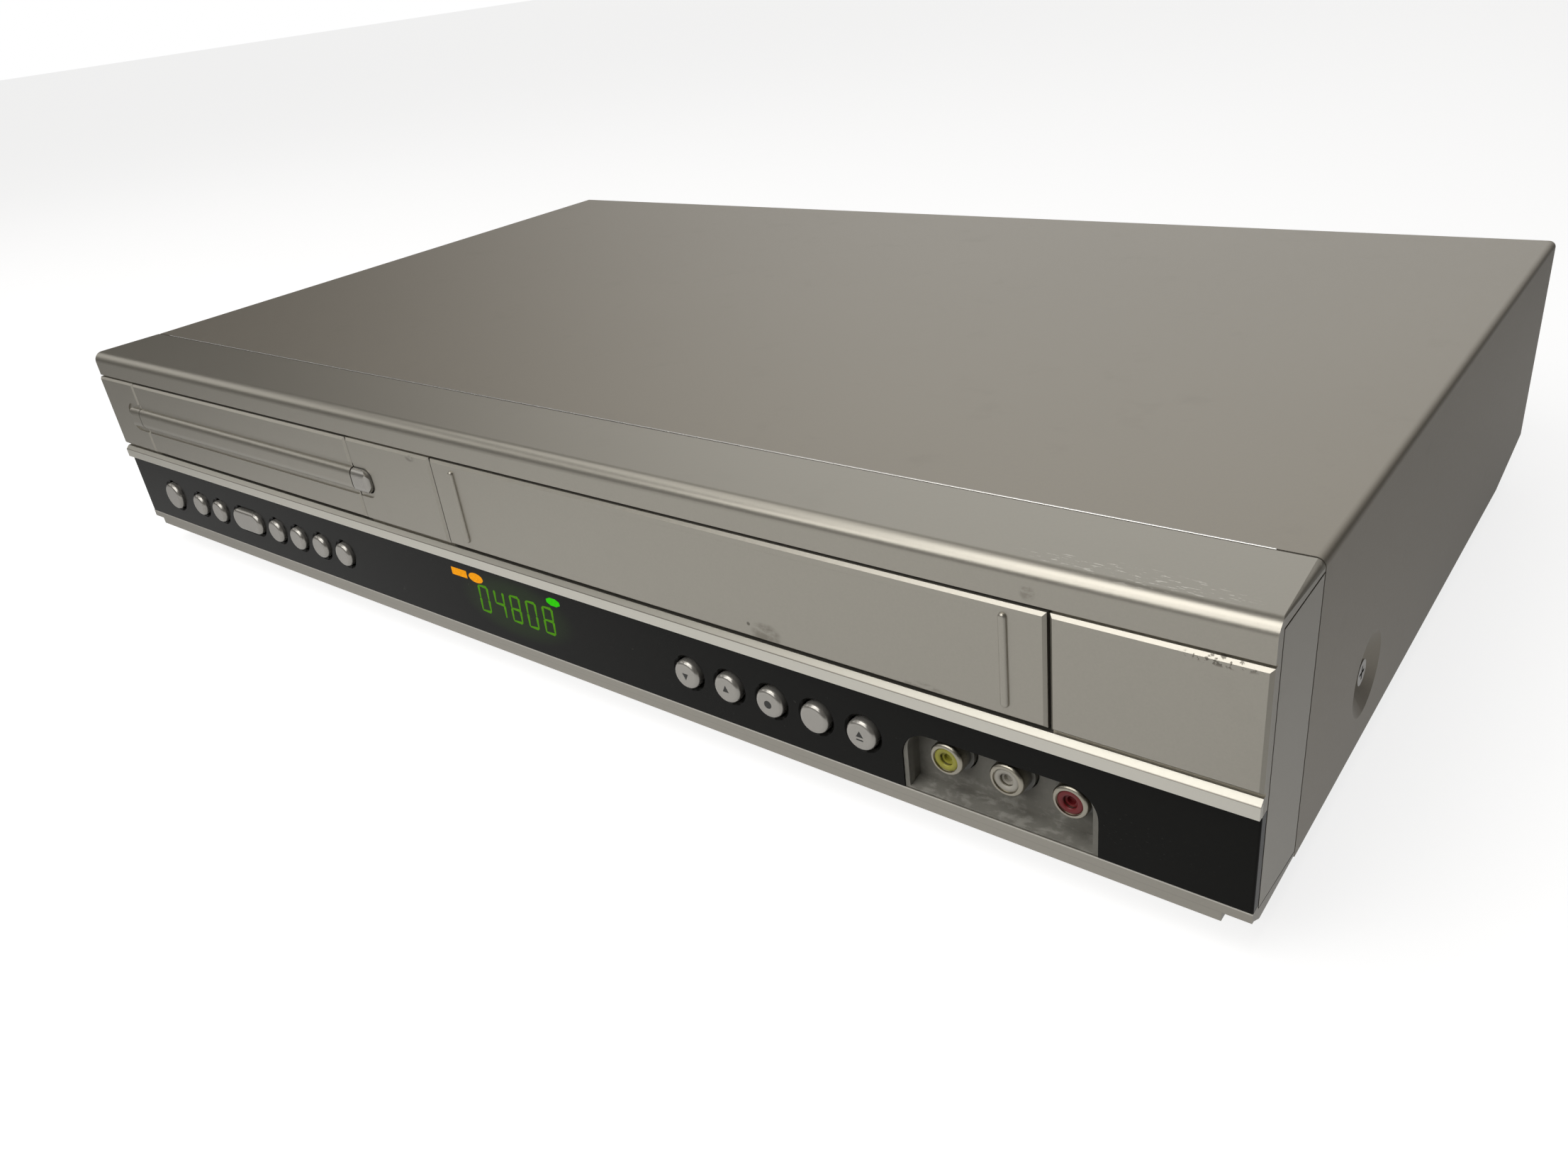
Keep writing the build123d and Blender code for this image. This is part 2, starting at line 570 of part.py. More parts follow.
with BuildPart() as control_strip:
    block(-HALF_W, HALF_W, FACE_Y, FACE_Y + STRIP_T, STRIP_LOW_Z, STRIP_TOP_Z)
    for side in (-1, 1):
        inner, outer = sorted((side * (HALF_W - WALL + 0.1), side * HALF_W))
        block(inner, outer, FACE_Y, GROOVE_Y - 0.1, STRIP_LOW_Z, STRIP_TOP_Z)
    fillet(control_strip.edges().filter_by(Axis.Z).group_by(Axis.Y)[0], 0.5)
    low = (Align.CENTER, Align.CENTER, Align.MIN)
    holes = [(x, ROUND_KEY_R + KEY_GAP) for x in ROUND_KEYS.values()]
    holes.append((POWER_X, POWER_KEY_R + KEY_GAP))
    for x, hole_r in holes:
        with Locations(Plane(origin=(x, FACE_Y, KEY_Z), z_dir=(0, 1, 0)).location):
            Cylinder(hole_r, STRIP_T + 1, align=low, mode=Mode.SUBTRACT)
            Cone(hole_r + KEY_CHAMFER, hole_r, KEY_CHAMFER, align=low, mode=Mode.SUBTRACT)
    slot_h = 2 * (ROUND_KEY_R + KEY_GAP)
    with BuildSketch(facing(FACE_Y + STRIP_T)):
        with Locations((PLAY_X, KEY_Z)):
            SlotOverall(PLAY_W + 2 * KEY_GAP, slot_h)
    extrude(amount=STRIP_T, mode=Mode.SUBTRACT)
    with BuildSketch(facing(FACE_Y + KEY_CHAMFER)):
        with Locations((PLAY_X, KEY_Z)):
            SlotOverall(PLAY_W + 2 * KEY_GAP, slot_h)
    extrude(amount=KEY_CHAMFER, taper=-45, mode=Mode.SUBTRACT)
    # cut-out round the front sockets, open at the bottom
    with BuildSketch(facing(FACE_Y + STRIP_T)) as cutout:
        with Locations(((RECESS_L + RECESS_R) / 2, (RECESS_TOP_Z + STRIP_LOW_Z - 5) / 2)):
            Rectangle(RECESS_R - RECESS_L, RECESS_TOP_Z - STRIP_LOW_Z + 5)
        fillet(cutout.vertices().group_by(Axis.Y)[-1], RECESS_CORNER_R)
    extrude(amount=STRIP_T, mode=Mode.SUBTRACT)
save(control_strip, "control_strip")

with BuildPart() as bottom_trim:
    with BuildSketch(Plane.YZ.offset(-HALF_W)):
        with BuildLine():
            Polyline(
                (FACE_Y, TRIM_LOW_Z),
                (FACE_Y, STRIP_LOW_Z - 0.1),
                (GROOVE_Y - 0.1, STRIP_LOW_Z - 0.1),
                (GROOVE_Y + 0.3, 12.1),
                (SEAM_Y, 9.5),
                (SEAM_Y, TRIM_LOW_Z),
                close=True,
            )
        make_face()
    extrude(amount=WIDTH)
    inside = HALF_W - WALL
    block(-inside, inside, FACE_Y + FRONT_WALL, SEAM_Y + 1, TRIM_LOW_Z + 1.2, STRIP_LOW_Z + 1, Mode.SUBTRACT)
    # the lower lip stops short of both front corners
    for x0, x1 in ((-HALF_W - 1, -211.6), (211.6, HALF_W + 1)):
        with BuildSketch(Plane.YZ.offset(x0)):
            with BuildLine():
                Polyline(
                    (FACE_Y - 1, TRIM_LOW_Z - 1),
                    (FACE_Y - 1, TRIM_LOW_Z + 2.2),
                    (FACE_Y + 0.8, TRIM_LOW_Z + 2.2),
                    (FACE_Y + 4.4, TRIM_LOW_Z),
                    (FACE_Y + 4.4, TRIM_LOW_Z - 1),
                    close=True,
                )
            make_face()
        extrude(amount=x1 - x0, mode=Mode.SUBTRACT)
save(bottom_trim, "bottom_trim")

with BuildPart() as jack_recess:
    box_front = FACE_Y + STRIP_T + 0.2
    box_back = FACE_Y + RECESS_DEPTH + 1.4
    floor_z = STRIP_LOW_Z + 0.5
    block(RECESS_L - 0.6, RECESS_R + 0.6, box_front, box_back, 12.0, 32.2)
    block(RECESS_L + 0.9, RECESS_R - 0.9, box_front - 1, FACE_Y + RECESS_DEPTH, floor_z, 31.0, Mode.SUBTRACT)
    # floor edge and side bands seen just inside the cut-out
    with BuildSketch(facing(box_front)):
        for inset, low_z, top_z, kind in (
            (0.1, STRIP_LOW_Z, RECESS_TOP_Z - 0.1, Mode.ADD),
            (1.3, floor_z, RECESS_TOP_Z + 0.6, Mode.SUBTRACT),
        ):
            with BuildSketch(mode=Mode.PRIVATE) as outline:
                with Locations(((RECESS_L + RECESS_R) / 2, (top_z + low_z) / 2)):
                    Rectangle(RECESS_R - RECESS_L - 2 * inset, top_z - low_z)
                fillet(outline.vertices().group_by(Axis.Y)[-1], RECESS_CORNER_R - inset)
            add(outline.sketch, mode=kind)
    extrude(amount=STRIP_T - 0.1)
    for x in JACKS.values():
        rod_y(x, JACK_Z, FACE_Y + 4, FACE_Y + 10, JACK_BOSS_R + 0.3, mode=Mode.SUBTRACT)
save(jack_recess, "jack_recess")

with BuildPart() as cassette_door:
    front_slab(DOOR_L, DOOR_R, PANEL_BOTTOM_Z + 0.1, PANEL_TOP_Z - 0.1, FACE_Y - PANEL_PROUD, FACE_Y + 1.4)
    # a lug and a pin at each end; the left pin also carries the spring
    for lug_x, pin_x0, pin_x1 in (
        (DOOR_L + DOOR_LUG_X, DOOR_L - GAP - PIVOT_LUG_W, DOOR_L + DOOR_PIN_IN),
        (DOOR_R - DOOR_LUG_X - DOOR_LUG_W, DOOR_R - DOOR_LUG_X, DOOR_R + GAP + PIVOT_LUG_W),
    ):
        block(lug_x, lug_x + DOOR_LUG_W, FACE_Y + 1, DOOR_PIVOT_Y + 2, DOOR_PIVOT_Z - 2, DOOR_PIVOT_Z + 2)
        rod_x(DOOR_PIVOT_Y, DOOR_PIVOT_Z, pin_x0, pin_x1, DOOR_PIN_R)
    # two raised vertical ribs
    for x in (DOOR_L + 9.2, DOOR_R - 9.2):
        with BuildSketch(facing(FACE_Y)):
            with Locations((x, PANEL_Z + 0.2)):
                SlotOverall(RIB_H, RIB_W, rotation=90)
        extrude(amount=PANEL_PROUD + RIB_PROUD)
    fillet(cassette_door.faces().group_by(Axis.Y)[0].edges(), RIB_PROUD - 0.1)
save(cassette_door, "cassette_door")

with BuildPart() as door_spring:
    spring_l = DOOR_L + DOOR_LUG_X + DOOR_LUG_W + 0.4
    spring_r = spring_l + 5.0
    rod_x(DOOR_PIVOT_Y, DOOR_PIVOT_Z, spring_l, spring_r, DOOR_PIN_R + 0.3 + SPRING_WIRE)
    rod_x(DOOR_PIVOT_Y, DOOR_PIVOT_Z, spring_l - 1, spring_r + 1, DOOR_PIN_R + 0.3, mode=Mode.SUBTRACT)
    # fixed leg that reaches up behind the fascia
    leg_y = DOOR_PIVOT_Y + DOOR_PIN_R + 0.3
    block(spring_r - SPRING_WIRE, spring_r, leg_y, leg_y + SPRING_WIRE, DOOR_PIVOT_Z, 71.5)
    block(spring_r - SPRING_WIRE, spring_r, FACE_Y + FRONT_WALL + 0.05, leg_y + SPRING_WIRE, 71.0, 71.5)
save(door_spring, "door_spring")

for name, key_x in ROUND_KEYS.items():
    with BuildPart() as round_key:
        rod_y(key_x, KEY_Z, FACE_Y - KEY_PROUD, FACE_Y + 2.0, ROUND_KEY_R)
        fillet(round_key.edges().filter_by(GeomType.CIRCLE).sort_by(Axis.Y)[0], KEY_ROUND)
        rod_y(key_x, KEY_Z, FACE_Y + 1.0, STEM_BACK_Y, 2.2)
    save(round_key, name)

with BuildPart() as power_button:
    rod_y(POWER_X, KEY_Z, FACE_Y - KEY_PROUD, FACE_Y + 2.0, POWER_KEY_R)
    fillet(power_button.edges().filter_by(GeomType.CIRCLE).sort_by(Axis.Y)[0], KEY_ROUND)
    rod_y(POWER_X, KEY_Z, FACE_Y + 1.0, STEM_BACK_Y, 2.2)
save(power_button, "power_button")

with BuildPart() as play_button:
    with BuildSketch(facing(FACE_Y + 2.0)):
        with Locations((PLAY_X, KEY_Z)):
            SlotOverall(PLAY_W, 2 * ROUND_KEY_R)
    extrude(amount=2.0 + KEY_PROUD)
    fillet(play_button.faces().sort_by(Axis.Y)[0].edges(), KEY_ROUND)
    rod_y(PLAY_X, KEY_Z, FACE_Y + 1.0, STEM_BACK_Y, 2.2)
save(play_button, "play_button")

with BuildPart() as open_close_button:
    open_x = (OPEN_KEY_L + OPEN_KEY_R) / 2
    crowned_bar(
        OPEN_KEY_L, OPEN_KEY_R, FACE_Y - PANEL_PROUD - BAR_PROUD - 0.3, FACE_Y + 2.0, rounded_end=1
    )
    rod_y(open_x, PANEL_Z, FACE_Y + 1.0, STEM_BACK_Y, 2.2)
save(open_close_button, "open_close_button")

KEY_CENTRES = [(x, KEY_Z) for x in ROUND_KEYS.values()]
KEY_CENTRES += [(POWER_X, KEY_Z), (PLAY_X, KEY_Z), ((OPEN_KEY_L + OPEN_KEY_R) / 2, PANEL_Z)]

with BuildPart() as front_board:
    block(-205.0, 190.0, FRONT_BOARD_Y, FRONT_BOARD_Y + BOARD_T, 14.0, 35.5)
    block(-56.0, -42.0, FRONT_BOARD_Y, FRONT_BOARD_Y + BOARD_T, 35.0, 62.0)
save(front_board, "front_board")

with BuildPart() as key_switches:
    for x, z in KEY_CENTRES:
        block(x - 3, x + 3, SWITCH_Y + 0.6, FRONT_BOARD_Y, z - 3, z + 3)
        rod_y(x, z, SWITCH_Y, SWITCH_Y + 1, 1.7)
save(key_switches, "key_switches")

with BuildPart() as display_tube:
    half = DISPLAY_W / 2
    block(DISPLAY_X - half, DISPLAY_X + half, FACE_Y + 2.6, FRONT_BOARD_Y - 0.1, 16.0, 33.5)
    fillet(display_tube.edges().filter_by(Axis.Y), 1.0)
save(display_tube, "display_tube")

for name, jack_x in JACKS.items():
    with BuildPart() as front_jack:
        rod_y(jack_x, JACK_Z, FACE_Y + 0.2, FACE_Y + 5, JACK_R)
        fillet(front_jack.edges().filter_by(GeomType.CIRCLE).sort_by(Axis.Y)[0], JACK_RIM_ROUND)
        rod_y(jack_x, JACK_Z, FACE_Y + 4.2, FRONT_BOARD_Y, JACK_BOSS_R)
        rod_y(jack_x, JACK_Z, FACE_Y - 1, FACE_Y + 0.7, JACK_INSERT_R, mode=Mode.SUBTRACT)
        rod_y(jack_x, JACK_Z, FACE_Y - 1, FACE_Y + 8, JACK_BORE_R, mode=Mode.SUBTRACT)
    save(front_jack, name)

# ================================================================ disc loader
with BuildPart() as loader_frame:
    for side in (-1, 1):
        inner, outer = sorted((LOADER_X + side * LOADER_IN, LOADER_X + side * LOADER_OUT))
        block(inner, outer, LOADER_FRONT_Y, LOADER_REAR_Y, LOADER_LOW_Z, 60.3)
        lip_in, lip_out = sorted((LOADER_X + side * (TRAY_HALF_W - 1.5), LOADER_X + side * LOADER_OUT))
        block(lip_in, lip_out, LOADER_FRONT_Y, LOADER_REAR_Y, 51.2, TRAY_LOW_Z - RUN_GAP)
        block(lip_in, lip_out, LOADER_FRONT_Y, LOADER_REAR_Y, TRAY_TOP_Z + RUN_GAP, 60.3)
    low_x, high_x = LOADER_X - LOADER_OUT, LOADER_X + LOADER_OUT
    block(low_x, high_x, LOADER_FRONT_Y, LOADER_REAR_Y, LOADER_LOW_Z, LOADER_LOW_Z + LOADER_FLOOR_T)
    block(low_x, high_x, LOADER_REAR_Y - 3, LOADER_REAR_Y, LOADER_LOW_Z, 60.3)
    block(LOADER_X - 46, LOADER_X + 46, -74.0, 56.0, LOADER_LOW_Z - 1, LOADER_LOW_Z + 3, Mode.SUBTRACT)
    # pivots of the traverse
    for side in (-1, 1):
        inner, outer = sorted((LOADER_X + side * 46.5, LOADER_X + side * 50.0))
        block(inner, outer, TRAVERSE_PIVOT_Y - 4, TRAVERSE_PIVOT_Y + 4, LOADER_LOW_Z, 45.0)
    rod_x(
        TRAVERSE_PIVOT_Y, TRAVERSE_Z + TRAVERSE_T / 2, LOADER_X - 55, LOADER_X + 55, 1.6, mode=Mode.SUBTRACT
    )
    # axle of the tray gear
    post(GEAR_X, GEAR_Y, LOADER_LOW_Z, 52.4, 2.0)
    # bridge over the disc that carries the clamp
    block(low_x, high_x, DISC_Y - 18, DISC_Y + 18, 63.6, 65.1)
    for side in (-1, 1):
        inner, outer = sorted((LOADER_X + side * LOADER_IN, LOADER_X + side * LOADER_OUT))
        block(inner, outer, DISC_Y - 18, DISC_Y + 18, 60.0, 65.1)
    post(LOADER_X, DISC_Y, 60.0, 70.0, 8.0, mode=Mode.SUBTRACT)
save(loader_frame, "loader_frame")

with BuildPart() as disc_tray:
    left, right = LOADER_X - TRAY_HALF_W, LOADER_X + TRAY_HALF_W
    tray_front_y = FACE_Y + 1.4
    block(left, right, tray_front_y, TRAY_REAR_Y, TRAY_LOW_Z, TRAY_TOP_Z)
    fillet(disc_tray.edges().filter_by(Axis.Z).group_by(Axis.Y)[-1], 6.0)
    block(left + 4, right - 4, tray_front_y, tray_front_y + 2.5, 47.0, 64.0)
    post(LOADER_X, DISC_Y, WELL_Z, TRAY_TOP_Z + 1, DISC_WELL_R, mode=Mode.SUBTRACT)
    post(LOADER_X, DISC_Y, SMALL_WELL_Z, TRAY_TOP_Z + 1, SMALL_WELL_R, mode=Mode.SUBTRACT)
    # slot for the turntable and the pickup, open to the rear
    post(LOADER_X, DISC_Y, TRAY_LOW_Z - 1, TRAY_TOP_Z + 1, TRAY_SLOT_HALF, mode=Mode.SUBTRACT)
    block(
        LOADER_X - TRAY_SLOT_HALF, LOADER_X + TRAY_SLOT_HALF, DISC_Y, TRAY_REAR_Y + 1,
        TRAY_LOW_Z - 1, TRAY_TOP_Z + 1, Mode.SUBTRACT,
    )
    # rack along the underside
    rack_front = GEAR_Y - 3 * TOOTH_PITCH
    rack_teeth = int((TRAY_REAR_Y - 1 - rack_front) / TOOTH_PITCH)
    root_x = RACK_LINE_X - TOOTH_DED
    block(root_x - 3.6, root_x, rack_front - 2, TRAY_REAR_Y - 0.5, RACK_LOW_Z, TRAY_LOW_Z + 0.5)
    with BuildSketch(Plane.XY.offset(RACK_LOW_Z)):
        for index in range(rack_teeth):
            y = rack_front + index * TOOTH_PITCH
            with BuildLine():
                Polyline(
                    (root_x - 0.2, y - TOOTH_ROOT / 2),
                    (root_x, y - TOOTH_ROOT / 2),
                    (RACK_LINE_X + TOOTH_ADD, y - TOOTH_TIP / 2),
                    (RACK_LINE_X + TOOTH_ADD, y + TOOTH_TIP / 2),
                    (root_x, y + TOOTH_ROOT / 2),
                    (root_x - 0.2, y + TOOTH_ROOT / 2),
                    close=True,
                )
            make_face()
    extrude(amount=TRAY_LOW_Z - RACK_LOW_Z + 0.2)
save(disc_tray, "disc_tray")

with BuildPart() as tray_front:
    front_slab(TRAY_L, TRAY_R, PANEL_BOTTOM_Z + 0.1, PANEL_TOP_Z - 0.1, FACE_Y - PANEL_PROUD, FACE_Y + 1.4)
    halo_front = FACE_Y - PANEL_PROUD
    half_halo = BAR_H / 2 + HALO
    block(
        TRAY_L - 1, TRAY_R + 1, halo_front - 1, halo_front + HALO_DEPTH,
        PANEL_Z - half_halo, PANEL_Z + half_halo, Mode.SUBTRACT,
    )
    crowned_bar(TRAY_L, TRAY_R, halo_front - BAR_PROUD, FACE_Y + 1.0)
save(tray_front, "tray_front")

with BuildPart() as tray_gear:
    with BuildSketch(Plane.XY.offset(RACK_LOW_Z)):
        with BuildLine():
            Polyline(*gear_points(GEAR_TEETH, GEAR_X, GEAR_Y), close=True)
        make_face()
    extrude(amount=3.0)
    post(GEAR_X, GEAR_Y, PULLEY_Z, PULLEY_Z + PULLEY_T, PULLEY_R)
    post(GEAR_X, GEAR_Y, PULLEY_Z, RACK_LOW_Z + 1, 5.0)
    post(GEAR_X, GEAR_Y, PULLEY_Z - 1, RACK_LOW_Z + 4, 2.05, mode=Mode.SUBTRACT)
save(tray_gear, "tray_gear")

with BuildPart() as loader_motor:
    post(MOTOR_X, GEAR_Y, LOADER_LOW_Z + LOADER_FLOOR_T, 44.6, 8.5)
    post(MOTOR_X, GEAR_Y, 44.0, 49.0, 0.95)
save(loader_motor, "loader_motor")

with BuildPart() as motor_pulley:
    post(MOTOR_X, GEAR_Y, PULLEY_Z - 0.6, PULLEY_Z, MOTOR_PULLEY_R + 1.6)
    post(MOTOR_X, GEAR_Y, PULLEY_Z, PULLEY_Z + PULLEY_T, MOTOR_PULLEY_R)
    post(MOTOR_X, GEAR_Y, PULLEY_Z - 1, PULLEY_Z + 4, 1.0, mode=Mode.SUBTRACT)
save(motor_pulley, "motor_pulley")

with BuildPart() as loader_belt:
    with BuildSketch(Plane.XY.offset(PULLEY_Z + 0.4)):
        for extra, kind in ((BELT_GAP + BELT_T, Mode.ADD), (BELT_GAP, Mode.SUBTRACT)):
            with BuildSketch(mode=Mode.PRIVATE) as loop:
                with Locations((GEAR_X, GEAR_Y)):
                    Circle(PULLEY_R + extra)
                with Locations((MOTOR_X, GEAR_Y)):
                    Circle(MOTOR_PULLEY_R + extra)
                make_hull()
            add(loop.sketch, mode=kind)
    extrude(amount=1.6)
save(loader_belt, "loader_belt")

with BuildPart() as traverse_frame:
    left, right = LOADER_X - TRAVERSE_HALF_W, LOADER_X + TRAVERSE_HALF_W
    block(left, right, TRAVERSE_FRONT_Y, TRAVERSE_PIVOT_Y + 3, TRAVERSE_Z, TRAVERSE_Z + TRAVERSE_T)
    rod_x(TRAVERSE_PIVOT_Y, TRAVERSE_Z + TRAVERSE_T / 2, LOADER_X - 50, LOADER_X + 50, PIN_R)
    post(LOADER_X, DISC_Y, TRAVERSE_Z - 3, 50.0, 13.0)
    post(LOADER_X, DISC_Y, 43.0, 51.0, 1.6, mode=Mode.SUBTRACT)
    # blocks that hold the guide rods and the screw
    for x in (LOADER_X - ROD_X, LOADER_X + ROD_X, LOADER_X + SCREW_X):
        for y in (ROD_FRONT_Y, ROD_REAR_Y - 3.0):
            block(x - 3, x + 3, y, y + 3, TRAVERSE_Z, ROD_Z + 3)
    for x in (LOADER_X - ROD_X, LOADER_X + ROD_X):
        rod_y(x, ROD_Z, ROD_FRONT_Y - 1, ROD_REAR_Y + 1, ROD_R, mode=Mode.SUBTRACT)
    rod_y(LOADER_X + SCREW_X, ROD_Z, ROD_FRONT_Y - 1, ROD_REAR_Y + 1, ROD_R + 0.08, mode=Mode.SUBTRACT)
    # sled motor body behind the screw
    block(LOADER_X + SCREW_X - 5, LOADER_X + SCREW_X + 5, 45.4, 52.0, TRAVERSE_Z, 51.0)
save(traverse_frame, "traverse_frame")

with BuildPart() as guide_rods:
    for x in (LOADER_X - ROD_X, LOADER_X + ROD_X):
        rod_y(x, ROD_Z, ROD_FRONT_Y, ROD_REAR_Y, ROD_R)
save(guide_rods, "guide_rods")

with BuildPart() as sled_screw:
    rod_y(LOADER_X + SCREW_X, ROD_Z, ROD_FRONT_Y, ROD_REAR_Y, ROD_R)
    rod_y(LOADER_X + SCREW_X, ROD_Z, ROD_FRONT_Y + 3.3, ROD_REAR_Y - 3.3, ROD_R + 0.5)
save(sled_screw, "sled_screw")

with BuildPart() as optical_pickup:
    sled_back = SLED_FRONT_Y + SLED_L
    sled_y = (SLED_FRONT_Y + sled_back) / 2
    block(LOADER_X - 25, LOADER_X + 25, SLED_FRONT_Y, sled_back, 42.8, 49.5)
    fillet(optical_pickup.edges().filter_by(Axis.Z), 3.0)
    for x in (LOADER_X - ROD_X, LOADER_X + ROD_X):
        rod_y(x, ROD_Z, SLED_FRONT_Y - 1, sled_back + 1, ROD_R + 0.08, mode=Mode.SUBTRACT)
    block(LOADER_X - 9, LOADER_X + 9, sled_y - 7, sled_y + 7, 49.0, 51.2)
    post(LOADER_X, sled_y, 51.0, 52.4, 3.4)
    # half nut that rides on the screw
    block(LOADER_X + 24, LOADER_X + SCREW_X - ROD_R - 0.8, sled_y - 3, sled_y + 3, 43.5, 48.5)
save(optical_pickup, "optical_pickup")

with BuildPart() as disc_turntable:
    post(LOADER_X, DISC_Y, 43.6, 57.0, 1.5)
    post(LOADER_X, DISC_Y, 55.6, 57.2, 14.0)
    with Locations((LOADER_X, DISC_Y, 57.2)):
        Cone(7.4, 5.0, 1.8, align=(Align.CENTER, Align.CENTER, Align.MIN))
    post(LOADER_X, DISC_Y, 50.4, 56.0, 5.0)
save(disc_turntable, "disc_turntable")

with BuildPart() as disc_clamp:
    post(LOADER_X, DISC_Y, 60.2, 62.2, 14.0)
    post(LOADER_X, DISC_Y, 62.0, 66.0, 7.0)
    post(LOADER_X, DISC_Y, 65.5, 67.0, 10.0)
save(disc_clamp, "disc_clamp")

# ================================================================ tape deck
with BuildPart() as deck_chassis:
    left, right = DECK_X - DECK_HALF_W, DECK_X + DECK_HALF_W
    block(left, right, DECK_FRONT_Y, DECK_REAR_Y, DECK_Z, DECK_TOP)
    for x in (left, right - DECK_T):
        block(x, x + DECK_T, 45.0, DECK_REAR_Y, DECK_Z, 32.0)
    post(CAPSTAN_X, CAPSTAN_Y, DECK_Z - 1, DECK_TOP + 1, 2.5, mode=Mode.SUBTRACT)
    post(CAPSTAN_X, CAPSTAN_Y, DECK_Z, 23.2, 3.5)
    post(CAPSTAN_X, CAPSTAN_Y, DECK_Z - 1, 28.0, 1.55, mode=Mode.SUBTRACT)
    post(PINCH_PIVOT[0], PINCH_PIVOT[1], DECK_Z, 25.5, 1.8)
    for side in (-1, 1):
        post(DECK_X + side * REEL_SPACING / 2, REEL_Y, DECK_Z, 34.0, 1.5)
save(deck_chassis, "deck_chassis")

with BuildPart() as carriage_frame:
    for side in (-1, 1):
        inner, outer = sorted((DECK_X + side * (HOLDER_HALF_W + 0.5), DECK_X + side * (HOLDER_HALF_W + 1.7)))
        block(inner, outer, -97.5, 40.0, DECK_TOP, 66.5)
    # track for the holder pins: straight in, then down
    slot_w = 2 * PIN_R + 2 * RUN_GAP
    half_slot = slot_w / 2
    for y in HOLDER_PIN_YS:
        block(
            DECK_X - 110, DECK_X + 110, y - half_slot, y + HOLDER_TRAVEL + half_slot,
            HOLDER_PIN_Z - half_slot, HOLDER_PIN_Z + half_slot, Mode.SUBTRACT,
        )
        low_y = y + HOLDER_TRAVEL
        block(
            DECK_X - 110, DECK_X + 110, low_y - half_slot, low_y + half_slot,
            HOLDER_PIN_Z - HOLDER_DROP - half_slot, HOLDER_PIN_Z, Mode.SUBTRACT,
        )
save(carriage_frame, "carriage_frame")

with BuildPart() as cassette_holder:
    left, right = DECK_X - HOLDER_HALF_W, DECK_X + HOLDER_HALF_W
    block(left, right, HOLDER_FRONT_Y, HOLDER_REAR_Y, HOLDER_LOW_Z, HOLDER_TOP_Z)
    block(
        left + 1, right - 1, HOLDER_FRONT_Y - 1, HOLDER_REAR_Y + 1,
        HOLDER_LOW_Z + 1, HOLDER_TOP_Z - 1, Mode.SUBTRACT,
    )
    # windows in the floor and in the roof
    block(left + 25, right - 25, -72.0, HOLDER_REAR_Y + 1, HOLDER_LOW_Z - 1, HOLDER_LOW_Z + 2, Mode.SUBTRACT)
    block(left + 30, right - 30, -80.0, -20.0, HOLDER_TOP_Z - 2, HOLDER_TOP_Z + 1, Mode.SUBTRACT)
    for y in HOLDER_PIN_YS:
        rod_x(y, HOLDER_PIN_Z, left - 2.6, left + 0.5, PIN_R)
        rod_x(y, HOLDER_PIN_Z, right - 0.5, right + 2.6, PIN_R)
save(cassette_holder, "cassette_holder")

with BuildPart() as lower_drum:
    post(DECK_X, DRUM_Y, DECK_TOP, DRUM_SPLIT_Z, DRUM_R)
    post(DECK_X, DRUM_Y, DECK_TOP - 1, DRUM_SPLIT_Z + 1, 3.05, mode=Mode.SUBTRACT)
save(lower_drum, "lower_drum")

with BuildPart() as upper_drum:
    post(DECK_X, DRUM_Y, DRUM_SPLIT_Z + RUN_GAP, DRUM_TOP_Z, DRUM_R)
    fillet(upper_drum.edges().filter_by(GeomType.CIRCLE).sort_by(Axis.Z)[-1], 1.0)
    post(DECK_X, DRUM_Y, DRUM_TOP_Z - 4, DRUM_TOP_Z + 1, 22.0, mode=Mode.SUBTRACT)
    post(DECK_X, DRUM_Y, DECK_TOP + 1, DRUM_TOP_Z - 1, 3.0)
    with Locations((DECK_X, DRUM_Y, DRUM_SPLIT_Z)):
        with PolarLocations(DRUM_R, 3):
            Box(2.4, 3.0, 4.0, mode=Mode.SUBTRACT)
save(upper_drum, "upper_drum")

with BuildPart() as capstan:
    post(CAPSTAN_X, CAPSTAN_Y, 11.5, 16.5, 26.0)
    fillet(capstan.edges().filter_by(GeomType.CIRCLE), 0.6)
    post(CAPSTAN_X, CAPSTAN_Y, 16.0, 40.0, 1.5)
save(capstan, "capstan")

with BuildPart() as pinch_arm:
    with BuildSketch(Plane.XY.offset(DECK_TOP + 0.4)):
        with Locations(PINCH_PIVOT):
            Circle(4.5)
        with Locations(PINCH_ROLLER):
            Circle(4.0)
        make_hull()
    extrude(amount=2.5)
    post(PINCH_ROLLER[0], PINCH_ROLLER[1], DECK_TOP + 1, 39.5, 1.5)
    post(PINCH_PIVOT[0], PINCH_PIVOT[1], DECK_TOP, 30.0, 1.85, mode=Mode.SUBTRACT)
save(pinch_arm, "pinch_arm")

with BuildPart() as pinch_roller:
    post(PINCH_ROLLER[0], PINCH_ROLLER[1], DECK_TOP + 3.3, 38.5, PINCH_R)
    fillet(pinch_roller.edges().filter_by(GeomType.CIRCLE), 0.5)
    post(PINCH_ROLLER[0], PINCH_ROLLER[1], DECK_TOP, 40.0, 1.55, mode=Mode.SUBTRACT)
save(pinch_roller, "pinch_roller")

